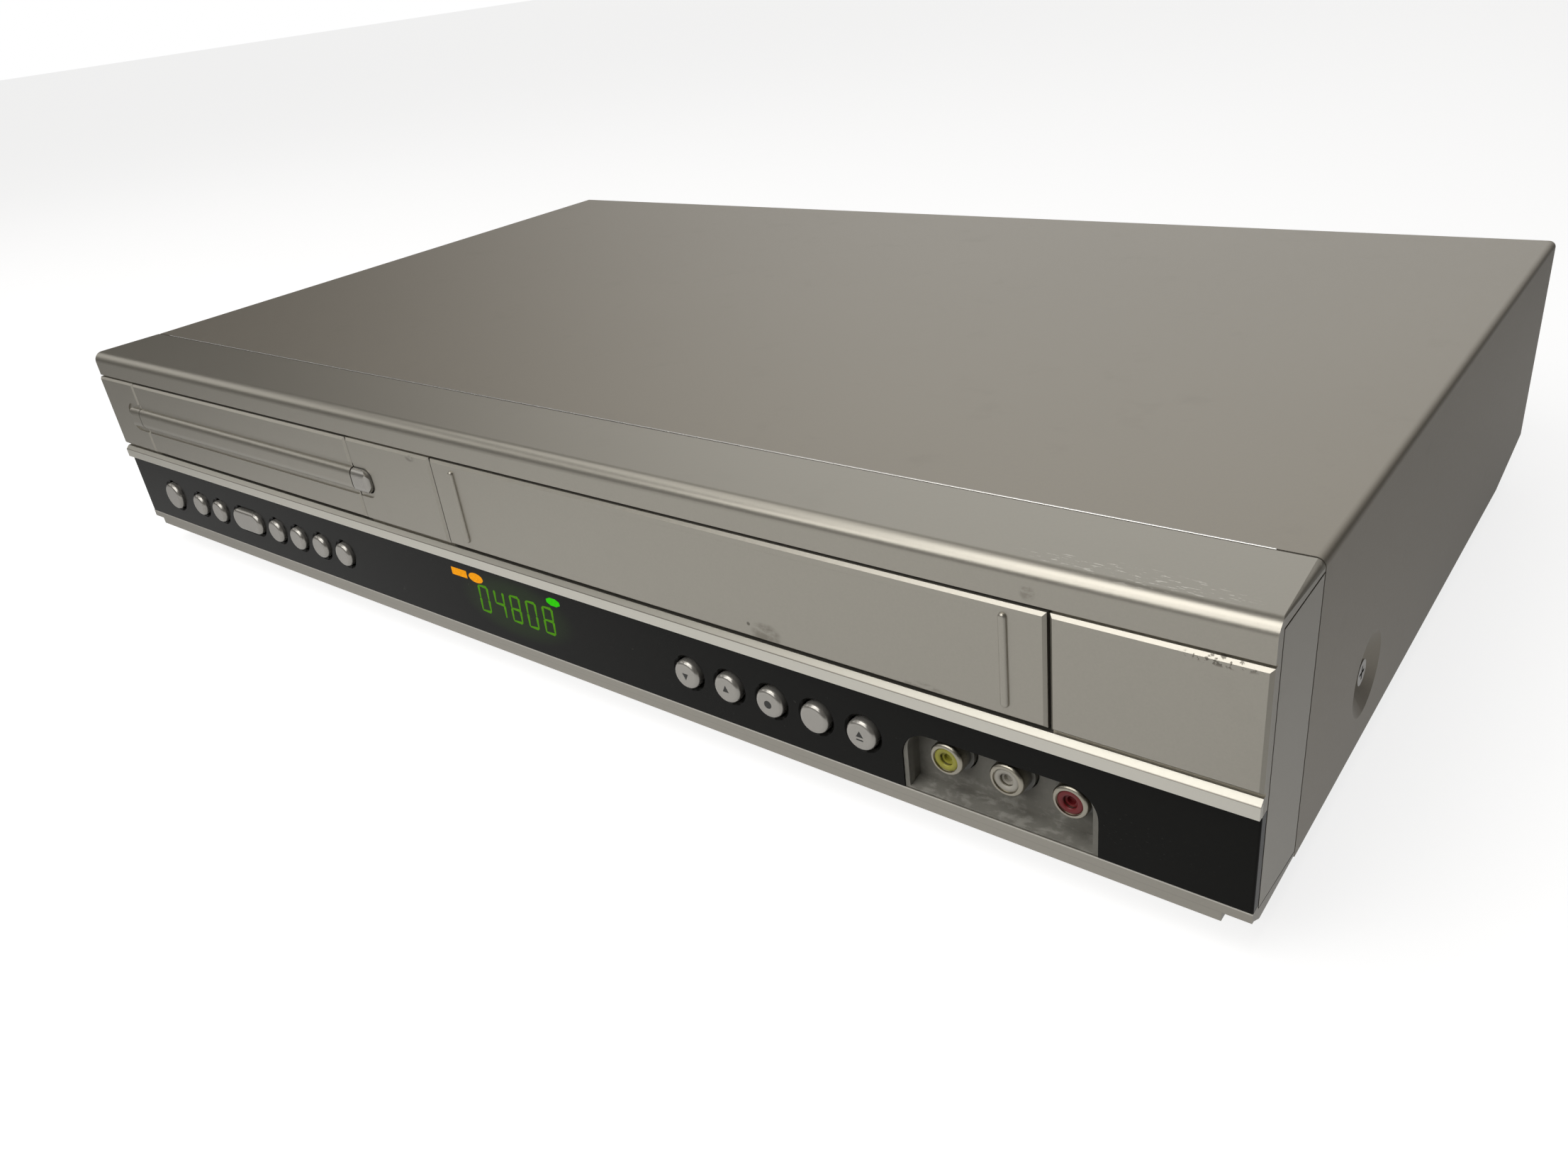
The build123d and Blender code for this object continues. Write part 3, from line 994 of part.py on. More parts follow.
for name, side in (("supply_reel", -1), ("take_up_reel", 1)):
    reel_x = DECK_X + side * REEL_SPACING / 2
    with BuildPart() as reel:
        post(reel_x, REEL_Y, DECK_TOP + 0.5, DECK_TOP + 3.5, REEL_R)
        post(reel_x, REEL_Y, DECK_TOP + 3.0, 35.0, 7.2)
        with Locations((reel_x, REEL_Y, 28.5)):
            with PolarLocations(7.4, 6):
                Box(2.4, 1.8, 10.0)
        post(reel_x, REEL_Y, DECK_TOP, 34.4, 1.55, mode=Mode.SUBTRACT)
    save(reel, name)

# ================================================================ boards and rear sockets
with BuildPart() as main_board:
    block(*MAIN_BOARD, BOARD_Z, BOARD_Z + BOARD_T)
    board_top = BOARD_Z + BOARD_T
    for x, y, size in ((20.0, 76.0, 20.0), (60.0, 74.0, 14.0), (100.0, 76.0, 16.0)):
        block(x - size / 2, x + size / 2, y - size / 2, y + size / 2, board_top, board_top + 1.6)
    for x in (-20.0, -8.0, 120.0):
        post(x, 100.0, board_top, board_top + 11.0, 3.2)
save(main_board, "main_board")

with BuildPart() as power_board:
    block(*POWER_BOARD, BOARD_Z, BOARD_Z + BOARD_T)
    # transformer, main capacitor, output capacitors and heat sinks
    block(-142.0, -108.0, 82.0, 112.0, board_top, board_top + 26.0)
    post(-166.0, 96.0, board_top, board_top + 32.0, 9.5)
    for x in (-94.0, -82.0):
        post(x, 88.0, board_top, board_top + 20.0, 5.0)
    block(-100.0, -72.0, 104.0, 107.0, board_top, board_top + 30.0)
    block(-152.0, -150.0, 80.0, 112.0, board_top, board_top + 28.0)
save(power_board, "power_board")

with BuildPart() as tuner_module:
    block(*TUNER, board_top, TUNER_TOP_Z)
    for x in AERIAL_XS:
        rod_y(x, AERIAL_Z, TUNER[3] - 1, REAR_OUT_Y + 1.0, 6.4)
        rod_y(x, AERIAL_Z, TUNER[3] - 1, REAR_OUT_Y + 9.0, AERIAL_R)
        rod_y(x, AERIAL_Z, REAR_OUT_Y, REAR_OUT_Y + 10.0, 1.3, mode=Mode.SUBTRACT)
save(tuner_module, "tuner_module")

for name, socket_xs, socket_zs in (
    ("line_sockets", LINE_XS, LINE_ZS),
    ("video_sockets", VIDEO_XS, VIDEO_ZS),
):
    with BuildPart() as sockets:
        block(socket_xs[0] - 6.5, socket_xs[-1] + 6.5, 108.0, REAR_IN_Y - 0.1, board_top, socket_zs[-1] + 7.0)
        for x in socket_xs:
            for z in socket_zs:
                tip_y = REAR_OUT_Y + PHONO_PROUD
                rod_y(x, z, REAR_IN_Y - 1, REAR_OUT_Y + 0.6, 5.0)
                rod_y(x, z, REAR_IN_Y, tip_y, JACK_R)
                rod_y(x, z, tip_y - 0.6, tip_y + 1, JACK_INSERT_R, mode=Mode.SUBTRACT)
                rod_y(x, z, REAR_OUT_Y, tip_y + 1, JACK_BORE_R, mode=Mode.SUBTRACT)
    save(sockets, name)

with BuildPart() as cord_gland:
    rod_y(GLAND_X, GLAND_Z, REAR_IN_Y - 5, REAR_OUT_Y + 0.5, GLAND_R - 0.05)
    rod_y(GLAND_X, GLAND_Z, REAR_OUT_Y + 0.05, REAR_OUT_Y + 2.5, GLAND_R + 2.0)
    rod_y(GLAND_X, GLAND_Z, REAR_OUT_Y + 2.0, REAR_OUT_Y + 8.0, 5.0)
    rod_y(GLAND_X, GLAND_Z, REAR_IN_Y - 6, REAR_OUT_Y + 9.0, 3.1, mode=Mode.SUBTRACT)
save(cord_gland, "cord_gland")
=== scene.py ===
"""Looks for the disc and tape combo player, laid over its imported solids."""

import json
import math

import bmesh
import bpy
from bpy.props import FloatProperty, FloatVectorProperty, PointerProperty, StringProperty
from mathutils import Matrix, Vector


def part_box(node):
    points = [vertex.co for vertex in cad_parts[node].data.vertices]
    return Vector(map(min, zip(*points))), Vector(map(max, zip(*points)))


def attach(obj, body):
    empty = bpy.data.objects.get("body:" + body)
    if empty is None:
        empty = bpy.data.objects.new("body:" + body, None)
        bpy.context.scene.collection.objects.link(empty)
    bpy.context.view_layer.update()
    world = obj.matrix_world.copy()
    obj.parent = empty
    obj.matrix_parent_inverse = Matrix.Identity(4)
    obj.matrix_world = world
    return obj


bl_info = {
    "name": "Combo Player Looks",
    "version": (1, 0, 0),
    "blender": (4, 5, 0),
    "location": "View3D > Sidebar > Combo Player",
    "description": "Finishes and small fittings for a disc and tape combo player",
    "category": "Object",
}

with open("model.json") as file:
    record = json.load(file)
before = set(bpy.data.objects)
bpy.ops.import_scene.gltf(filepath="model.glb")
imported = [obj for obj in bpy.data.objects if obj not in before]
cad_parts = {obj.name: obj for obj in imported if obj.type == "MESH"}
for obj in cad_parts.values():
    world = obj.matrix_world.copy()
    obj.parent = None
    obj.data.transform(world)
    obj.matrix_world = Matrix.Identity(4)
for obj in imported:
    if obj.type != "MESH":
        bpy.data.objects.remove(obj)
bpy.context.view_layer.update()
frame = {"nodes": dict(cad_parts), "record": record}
MM = 0.001

# Levels and places read from the solids.
FACE_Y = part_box("control_strip")[0].y
TOP_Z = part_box("top_cover")[1].z
COVER_FRONT_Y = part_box("top_cover")[0].y
COVER_HALF_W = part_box("top_cover")[1].x
KEYS = (
    "power_button", "rewind_button", "forward_button", "play_button", "stop_button",
    "pause_button", "previous_button", "next_button", "channel_down_button",
    "channel_up_button", "record_button", "source_button", "eject_button",
)
JACK_FINISHES = {
    "video_jack": "Yellow Insert", "audio_left_jack": "White Insert", "audio_right_jack": "Red Insert",
}
MOUNTS = {mount["name"]: mount for mount in frame["record"]["mounts"]}


def tone(red, green, blue):
    """Linear colour from the 0 to 255 values that a screen shows."""
    def channel(value):
        value = value / 255
        return value / 12.92 if value <= 0.04045 else ((value + 0.055) / 1.055) ** 2.4
    return (channel(red), channel(green), channel(blue), 1.0)


# ---------------------------------------------------------------- settings
class CaseSettings(bpy.types.PropertyGroup):
    """Paint of the cover and of the front moulding."""
    cover_colour: FloatVectorProperty(
        name="Cover colour", description="Satin paint of the folded top cover",
        subtype="COLOR", size=4, min=0, max=1, default=tone(165, 159, 148))
    bezel_colour: FloatVectorProperty(
        name="Bezel colour", description="Silver paint of the front moulding",
        subtype="COLOR", size=4, min=0, max=1, default=tone(172, 168, 158))
    trim_colour: FloatVectorProperty(
        name="Trim colour", description="Brighter silver of the lowest bar",
        subtype="COLOR", size=4, min=0, max=1, default=tone(168, 164, 155))
    strip_colour: FloatVectorProperty(
        name="Strip colour", description="Gloss control strip",
        subtype="COLOR", size=4, min=0, max=1, default=tone(22, 22, 20))
    speckle: FloatProperty(
        name="Speckle", description="Strength of the fine flake in the paint",
        min=0, max=1, default=0.10)
    wear: FloatProperty(
        name="Wear", description="Strength of chips, scratches and smudges",
        min=0, max=1, default=0.8)


class DisplaySettings(bpy.types.PropertyGroup):
    """Lit figures behind the control strip."""
    figures: StringProperty(
        name="Figures", description="Digits that the display shows", default="04808")
    glow: FloatVectorProperty(
        name="Glow", description="Colour of the lit figures",
        subtype="COLOR", size=4, min=0, max=1, default=tone(82, 146, 26))
    lamp_colour: FloatVectorProperty(
        name="Lamp colour", description="Colour of the two marks at the upper left",
        subtype="COLOR", size=4, min=0, max=1, default=tone(244, 158, 22))


def settings():
    """The scene's own settings of this add-on."""
    return bpy.context.scene.combo_case, bpy.context.scene.combo_display


# ---------------------------------------------------------------- node helpers
def node(tree, kind, **values):
    """Add a node; values set its inputs by name or number, or its properties."""
    made = tree.nodes.new(kind)
    for key, value in values.items():
        name = key.replace("_", " ")
        if hasattr(made, key):
            setattr(made, key, value)
        elif name in made.inputs:
            made.inputs[name].default_value = value
        else:
            raise KeyError(kind + " has no " + key)
    return made


def join(tree, source, target):
    """Link one socket to another."""
    tree.links.new(source, target)


def math_node(tree, operation, first, second=None, clamp=False):
    """A Math node fed by sockets or numbers; returns its output."""
    made = tree.nodes.new("ShaderNodeMath")
    made.operation = operation
    made.use_clamp = clamp
    for place, value in enumerate((first, second)):
        if value is None:
            continue
        if isinstance(value, (int, float)):
            made.inputs[place].default_value = value
        else:
            tree.links.new(value, made.inputs[place])
    return made.outputs[0]


def vector_node(tree, operation, first, second=None):
    """A Vector Math node fed by sockets or triples; returns its node."""
    made = tree.nodes.new("ShaderNodeVectorMath")
    made.operation = operation
    for place, value in enumerate((first, second)):
        if value is None:
            continue
        if isinstance(value, tuple):
            made.inputs[place].default_value = value
        else:
            tree.links.new(value, made.inputs[place])
    return made


def blend_colours(tree, factor, first, second, kind="MIX"):
    """A Mix node for colours; returns its result."""
    made = tree.nodes.new("ShaderNodeMix")
    made.data_type = "RGBA"
    made.blend_type = kind
    for place, value in ((0, factor), (6, first), (7, second)):
        if isinstance(value, (int, float, tuple)):
            made.inputs[place].default_value = value
        else:
            tree.links.new(value, made.inputs[place])
    return made.outputs[2]


def new_group(name, inputs, outputs):
    """An empty node group with named sockets; returns its tree, input node and output node."""
    tree = bpy.data.node_groups.new(name, "ShaderNodeTree")
    kinds = {"colour": "NodeSocketColor", "number": "NodeSocketFloat", "vector": "NodeSocketVector"}
    for label, kind, default in inputs:
        socket = tree.interface.new_socket(name=label, in_out="INPUT", socket_type=kinds[kind])
        socket.default_value = default
    for label, kind in outputs:
        tree.interface.new_socket(name=label, in_out="OUTPUT", socket_type=kinds[kind])
    return tree, tree.nodes.new("NodeGroupInput"), tree.nodes.new("NodeGroupOutput")


def build_speckle_group():
    """Fine flake and faint clouding for sprayed paint."""
    tree, given, result = new_group(
        "Paint Flake",
        [("Colour", "colour", (0.3, 0.3, 0.3, 1)), ("Speckle", "number", 0.1),
         ("Grain", "number", 1800.0), ("Clouding", "number", 0.05)],
        [("Colour", "colour"), ("Roughness", "number"), ("Height", "number")],
    )
    place = node(tree, "ShaderNodeTexCoord")
    fine = node(tree, "ShaderNodeTexNoise", Detail=2.0, Roughness=0.7)
    join(tree, place.outputs["Object"], fine.inputs["Vector"])
    join(tree, given.outputs["Grain"], fine.inputs["Scale"])
    flakes = node(tree, "ShaderNodeTexVoronoi")
    join(tree, place.outputs["Object"], flakes.inputs["Vector"])
    join(tree, given.outputs["Grain"], flakes.inputs["Scale"])
    cloud = node(tree, "ShaderNodeTexNoise", Scale=9.0, Detail=3.0)
    join(tree, place.outputs["Object"], cloud.inputs["Vector"])
    fine_part = math_node(tree, "SUBTRACT", fine.outputs[0], 0.5)
    flake_part = math_node(tree, "SUBTRACT", flakes.outputs["Color"], 0.5)
    both = math_node(tree, "ADD", fine_part, math_node(tree, "MULTIPLY", flake_part, 0.6))
    change = math_node(tree, "MULTIPLY", both, given.outputs["Speckle"])
    cloud_part = math_node(tree, "SUBTRACT", cloud.outputs[0], 0.5)
    cloud_change = math_node(tree, "MULTIPLY", cloud_part, given.outputs["Clouding"])
    level = math_node(tree, "ADD", math_node(tree, "ADD", change, cloud_change), 1.0)
    grey = node(tree, "ShaderNodeCombineColor")
    for channel in range(3):
        join(tree, level, grey.inputs[channel])
    colour = blend_colours(tree, 1.0, given.outputs["Colour"], grey.outputs[0], "MULTIPLY")
    join(tree, colour, result.inputs["Colour"])
    rough = math_node(tree, "MULTIPLY", both, given.outputs["Speckle"])
    join(tree, rough, result.inputs["Roughness"])
    join(tree, both, result.inputs["Height"])
    return tree


def build_wear_group():
    """Smudges and tiny scuffs, as a mask and a colour."""
    tree, given, result = new_group(
        "Handling Marks",
        [("Colour", "colour", (0.3, 0.3, 0.3, 1)), ("Mark Colour", "colour", (0.1, 0.1, 0.1, 1)),
         ("Amount", "number", 0.3), ("Size", "number", 60.0)],
        [("Colour", "colour"), ("Mask", "number")],
    )
    place = node(tree, "ShaderNodeTexCoord")
    patch = node(tree, "ShaderNodeTexNoise", Detail=4.0, Roughness=0.65)
    join(tree, place.outputs["Object"], patch.inputs["Vector"])
    join(tree, given.outputs["Size"], patch.inputs["Scale"])
    sharp = node(tree, "ShaderNodeMapRange")
    sharp.inputs["From Min"].default_value = 0.60
    sharp.inputs["From Max"].default_value = 0.78
    join(tree, patch.outputs[0], sharp.inputs["Value"])
    mask = math_node(tree, "MULTIPLY", sharp.outputs[0], given.outputs["Amount"], clamp=True)
    colour = blend_colours(tree, mask, given.outputs["Colour"], given.outputs["Mark Colour"])
    join(tree, colour, result.inputs["Colour"])
    join(tree, mask, result.inputs["Mask"])
    return tree


def build_area_group():
    """Grainy marks kept inside one box of the object, as a mask and a colour."""
    tree, given, result = new_group(
        "Marked Area",
        [("Colour", "colour", (0.3, 0.3, 0.3, 1)), ("Mark Colour", "colour", (0.1, 0.1, 0.1, 1)),
         ("Centre", "vector", (0, 0, 0)), ("Half Size", "vector", (0.01, 0.01, 0.01)),
         ("Grain", "vector", (400, 400, 400)), ("Threshold", "number", 0.55),
         ("Softness", "number", 0.04), ("Amount", "number", 1.0)],
        [("Colour", "colour"), ("Mask", "number")],
    )
    place = node(tree, "ShaderNodeTexCoord")
    away = vector_node(tree, "SUBTRACT", place.outputs["Object"], given.outputs["Centre"]).outputs[0]
    share = vector_node(tree, "DIVIDE", away, given.outputs["Half Size"]).outputs[0]
    share = vector_node(tree, "MULTIPLY", share, share).outputs[0]
    reach = vector_node(tree, "DOT_PRODUCT", share, (1.0, 1.0, 1.0)).outputs["Value"]
    inside = node(tree, "ShaderNodeMapRange", interpolation_type="SMOOTHSTEP")
    for name, value in (("From Min", 0.25), ("From Max", 1.0), ("To Min", 1.0), ("To Max", 0.0)):
        inside.inputs[name].default_value = value
    join(tree, reach, inside.inputs["Value"])
    grain = node(tree, "ShaderNodeTexNoise", Scale=1.0, Detail=3.0, Roughness=0.6)
    join(tree, vector_node(tree, "MULTIPLY", away, given.outputs["Grain"]).outputs[0], grain.inputs["Vector"])
    hit = node(tree, "ShaderNodeMapRange")
    join(tree, grain.outputs[0], hit.inputs["Value"])
    join(tree, given.outputs["Threshold"], hit.inputs["From Min"])
    join(tree, math_node(tree, "ADD", given.outputs["Threshold"], given.outputs["Softness"]),
         hit.inputs["From Max"])
    mask = math_node(tree, "MULTIPLY", inside.outputs[0], hit.outputs[0])
    mask = math_node(tree, "MULTIPLY", mask, given.outputs["Amount"], clamp=True)
    colour = blend_colours(tree, mask, given.outputs["Colour"], given.outputs["Mark Colour"])
    join(tree, colour, result.inputs["Colour"])
    join(tree, mask, result.inputs["Mask"])
    return tree


def build_painted_light_band_group():
    """A level band on the object's front between two heights, as a mask and a colour; it paints the highlight
    and shade lines of the ledge and trim.
    """
    tree, given, result = new_group(
        "Painted Light Band",
        [("Colour", "colour", (0.3, 0.3, 0.3, 1)), ("Band Colour", "colour", (0.5, 0.5, 0.5, 1)),
         ("Low", "number", 0.0), ("High", "number", 0.01), ("Edge", "number", 0.0001),
         ("Back", "number", 0.0)],
        [("Colour", "colour"), ("Mask", "number")],
    )
    place = node(tree, "ShaderNodeTexCoord")
    parts = node(tree, "ShaderNodeSeparateXYZ")
    join(tree, place.outputs["Object"], parts.inputs[0])
    sides = []
    for first, second in (
            (parts.outputs["Z"], given.outputs["Low"]), (given.outputs["High"], parts.outputs["Z"]),
            (given.outputs["Back"], parts.outputs["Y"])):
        over = math_node(tree, "DIVIDE", math_node(tree, "SUBTRACT", first, second), given.outputs["Edge"])
        sides.append(math_node(tree, "ADD", over, 0.5, clamp=True))
    mask = math_node(tree, "MULTIPLY", math_node(tree, "MULTIPLY", sides[0], sides[1]), sides[2])
    colour = blend_colours(tree, mask, given.outputs["Colour"], given.outputs["Band Colour"])
    join(tree, colour, result.inputs["Colour"])
    join(tree, mask, result.inputs["Mask"])
    return tree


def use_group(tree, name, **values):
    """Place a built group in a material with its own values."""
    made = tree.nodes.new("ShaderNodeGroup")
    made.node_tree = bpy.data.node_groups[name]
    for key, value in values.items():
        made.inputs[key.replace("_", " ")].default_value = value
    return made


def new_material(name):
    """A material with a Principled shader; returns the material, its tree and the shader."""
    made = bpy.data.materials.new(name)
    made.use_nodes = True
    return made, made.node_tree, made.node_tree.nodes["Principled BSDF"]


def paint_material(name, colour, speckle, grain, roughness, metallic, marks=0.0, clouding=0.05,
                   bump=0.1, areas=(), painted_light_bands=()):
    """Sprayed paint with flake, clouding, fine texture, a few marks, its own level stripes of painted
    highlight and painted shade, and marked areas.
    """
    made, tree, shader = new_material(name)
    flake = use_group(tree, "Paint Flake", Colour=colour, Speckle=speckle, Grain=grain, Clouding=clouding)
    dark = tuple(channel * 0.6 for channel in colour[:3]) + (1.0,)
    worn = use_group(tree, "Handling Marks", Mark_Colour=dark, Amount=marks)
    join(tree, flake.outputs["Colour"], worn.inputs["Colour"])
    last = worn
    # Each level stripe paints a highlight or a shade line into the colour.
    for band in painted_light_bands:
        level = use_group(tree, "Painted Light Band", Back=FACE_Y + 0.15 * MM, **band)
        join(tree, last.outputs["Colour"], level.inputs["Colour"])
        last = level
    rough = math_node(tree, "ADD", flake.outputs["Roughness"], roughness)
    rough = math_node(tree, "ADD", rough, math_node(tree, "MULTIPLY", worn.outputs["Mask"], 0.15))
    for area in areas:
        marked = use_group(tree, "Marked Area", **area)
        join(tree, last.outputs["Colour"], marked.inputs["Colour"])
        rough = math_node(tree, "ADD", rough, math_node(tree, "MULTIPLY", marked.outputs["Mask"], 0.2))
        last = marked
    join(tree, last.outputs["Colour"], shader.inputs["Base Color"])
    join(tree, math_node(tree, "ADD", rough, 0.0, clamp=True), shader.inputs["Roughness"])
    shader.inputs["Metallic"].default_value = metallic
    relief = node(tree, "ShaderNodeBump", Strength=bump, Distance=0.00005)
    join(tree, flake.outputs["Height"], relief.inputs["Height"])
    join(tree, relief.outputs["Normal"], shader.inputs["Normal"])
    return made


def gloss_strip_material(case):
    """Tinted gloss plastic with dust, finger marks and the figures' faint light behind it."""
    areas = (
        dict(Mark_Colour=tone(74, 74, 70), Centre=(0.0, FACE_Y, 0.025), Half_Size=(0.26, 0.01, 0.02),
             Grain=(420.0, 420.0, 420.0), Threshold=0.69, Softness=0.03, Amount=0.5 * case.wear),
        dict(Mark_Colour=tone(60, 60, 57), Centre=(0.19, FACE_Y, 0.022), Half_Size=(0.026, 0.01, 0.006),
             Grain=(900.0, 900.0, 2600.0), Threshold=0.64, Softness=0.04, Amount=0.6 * case.wear),
    )
    made = paint_material("Gloss Strip", tuple(case.strip_colour), 0.08, 900.0, 0.17, 0.0, 0.3,
                          bump=0.02, areas=areas)
    tree = made.node_tree
    shader = tree.nodes["Principled BSDF"]
    shader.inputs["IOR"].default_value = 1.2
    halo = use_group(tree, "Marked Area", Colour=(0, 0, 0, 1), Mark_Colour=(0.005, 0.013, 0.0015, 1),
                     Centre=(0.0070, FACE_Y, 0.0258), Half_Size=(0.026, 0.02, 0.011),
                     Grain=(90.0, 90.0, 90.0), Threshold=-1.0, Softness=0.5, Amount=1.0)
    join(tree, halo.outputs["Colour"], shader.inputs["Emission Color"])
    shader.inputs["Emission Strength"].default_value = 1.0
    return made


def jack_material():
    """Nickel sleeve in front and a grey plastic boss behind it, on one solid."""
    made = paint_material("Jack Sleeve", tone(104, 103, 97), 0.08, 1500.0, 0.30, 0.0, 0.1)
    tree = made.node_tree
    shader = tree.nodes["Principled BSDF"]
    boss_y = FACE_Y + 4.1 * MM
    sleeve = use_group(tree, "Marked Area", Mark_Colour=tone(168, 163, 150), Half_Size=(0.5, 0.0048, 0.5),
                       Centre=(0.0, boss_y - 4.8 * MM, 0.0), Grain=(90.0, 90.0, 90.0), Threshold=-1.0,
                       Softness=0.5, Amount=1.0)
    join(tree, shader.inputs["Base Color"].links[0].from_socket, sleeve.inputs["Colour"])
    join(tree, sleeve.outputs["Colour"], shader.inputs["Base Color"])
    join(tree, sleeve.outputs["Mask"], shader.inputs["Metallic"])
    return made


def silver_marks(wear):
    """Marks on the front moulding: chips, fine scratches and smudges, each at its own place."""
    return (
        # paint chips along the right panel's upper edge, near its right end
        dict(Mark_Colour=tone(104, 99, 90), Centre=(0.2085, FACE_Y - 0.001, 0.0684),
             Half_Size=(0.0085, 0.004, 0.0013), Grain=(950.0, 900.0, 620.0), Threshold=0.55,
             Softness=0.05, Amount=wear),
        # fine scratches on the shelf near the lip, at the right
        dict(Mark_Colour=tone(236, 234, 226), Centre=(0.190, -0.1262, TOP_Z),
             Half_Size=(0.026, 0.0040, 0.004), Grain=(300.0, 1700.0, 500.0), Threshold=0.585,
             Softness=0.04, Amount=0.9 * wear),
        # a scuff on the band above the door
        dict(Mark_Colour=tone(118, 112, 100), Centre=(0.1707, FACE_Y, 0.0722),
             Half_Size=(0.0020, 0.006, 0.0020), Grain=(500.0, 500.0, 900.0), Threshold=0.40,
             Softness=0.2, Amount=0.5 * wear),
        # a smudge on the middle panel's upper edge
        dict(Mark_Colour=tone(96, 92, 84), Centre=(-0.0248, FACE_Y - 0.001, 0.0678),
             Half_Size=(0.0024, 0.005, 0.0012), Grain=(600.0, 600.0, 600.0), Threshold=0.40,
             Softness=0.15, Amount=0.5 * wear),
    )


def door_marks(wear):
    """Marks on the cassette door."""
    return (
        # a rubbed smudge at the lower edge and two specks above it
        dict(Mark_Colour=tone(122, 117, 106), Centre=(0.1030, FACE_Y - 0.001, 0.0446),
             Half_Size=(0.0052, 0.006, 0.0034), Grain=(260.0, 260.0, 420.0), Threshold=0.34,
             Softness=0.25, Amount=0.75 * wear),
        dict(Mark_Colour=tone(84, 80, 72), Centre=(0.0979, FACE_Y - 0.001, 0.0461),
             Half_Size=(0.0006, 0.004, 0.0006), Grain=(50.0, 50.0, 50.0), Threshold=-1.0,
             Softness=0.5, Amount=0.9 * wear),
        dict(Mark_Colour=tone(120, 115, 104), Centre=(0.146, FACE_Y - 0.001, 0.0432),
             Half_Size=(0.006, 0.005, 0.0016), Grain=(300.0, 300.0, 600.0), Threshold=0.42,
             Softness=0.15, Amount=0.5 * wear),
    )


def glow_material(name, colour, strength):
    """Lit display element with a fine uneven brightness."""
    made, tree, shader = new_material(name)
    place = node(tree, "ShaderNodeTexCoord")
    grain = node(tree, "ShaderNodeTexNoise", Scale=2500.0, Detail=1.0)
    join(tree, place.outputs["Object"], grain.inputs["Vector"])
    level = math_node(tree, "ADD", math_node(tree, "MULTIPLY", grain.outputs[0], 0.5), 0.75)
    grey = node(tree, "ShaderNodeCombineColor")
    for channel in range(3):
        join(tree, level, grey.inputs[channel])
    lit = blend_colours(tree, 1.0, colour, grey.outputs[0], "MULTIPLY")
    join(tree, lit, shader.inputs["Emission Color"])
    shader.inputs["Emission Strength"].default_value = strength
    shader.inputs["Base Color"].default_value = (0.0, 0.0, 0.0, 1.0)
    shader.inputs["Roughness"].default_value = 0.5
    shader.inputs["IOR"].default_value = 1.08
    return made


def finish(name):
    """A named finish that was built earlier."""
    return bpy.data.materials[name]


def coat(object_name, finish_name):
    """Put one finish on a CAD node."""
    mesh = frame["nodes"][object_name].data
    mesh.materials.clear()
    mesh.materials.append(finish(finish_name))


# ---------------------------------------------------------------- finishes
FINISH_OF_NODE = {
    "top_cover": "Cover Paint",
    "front_bezel": "Bezel Silver", "bottom_trim": "Trim Silver", "tray_front": "Tray Silver",
    "cassette_door": "Door Silver", "open_close_button": "Key Silver",
    "control_strip": "Gloss Strip",
    "jack_recess": "Recess Grey",
    "base_chassis": "Zinc Sheet", "rear_panel": "Zinc Sheet", "deck_chassis": "Zinc Sheet",
    "carriage_frame": "Zinc Sheet", "cassette_holder": "Zinc Sheet", "tuner_module": "Zinc Sheet",
    "pinch_arm": "Zinc Sheet",
    "feet": "Foot Rubber", "loader_belt": "Foot Rubber", "pinch_roller": "Foot Rubber",
    "case_screws": "Bright Steel", "door_spring": "Bright Steel", "loader_motor": "Bright Steel",
    "guide_rods": "Bright Steel", "sled_screw": "Bright Steel", "capstan": "Bright Steel",
    "lower_drum": "Turned Aluminium", "upper_drum": "Turned Aluminium",
    "front_board": "Board Green", "main_board": "Board Green", "power_board": "Board Green",
    "key_switches": "Black Moulding", "loader_frame": "Black Moulding", "disc_tray": "Black Moulding",
    "traverse_frame": "Black Moulding", "disc_turntable": "Black Moulding",
    "optical_pickup": "Black Moulding", "supply_reel": "Black Moulding", "take_up_reel": "Black Moulding",
    "cord_gland": "Black Moulding", "line_sockets": "Black Moulding", "video_sockets": "Black Moulding",
    "tray_gear": "White Moulding", "motor_pulley": "White Moulding", "disc_clamp": "White Moulding",
    "display_tube": "Display Glass",
    "video_jack": "Jack Sleeve", "audio_left_jack": "Jack Sleeve", "audio_right_jack": "Jack Sleeve",
}


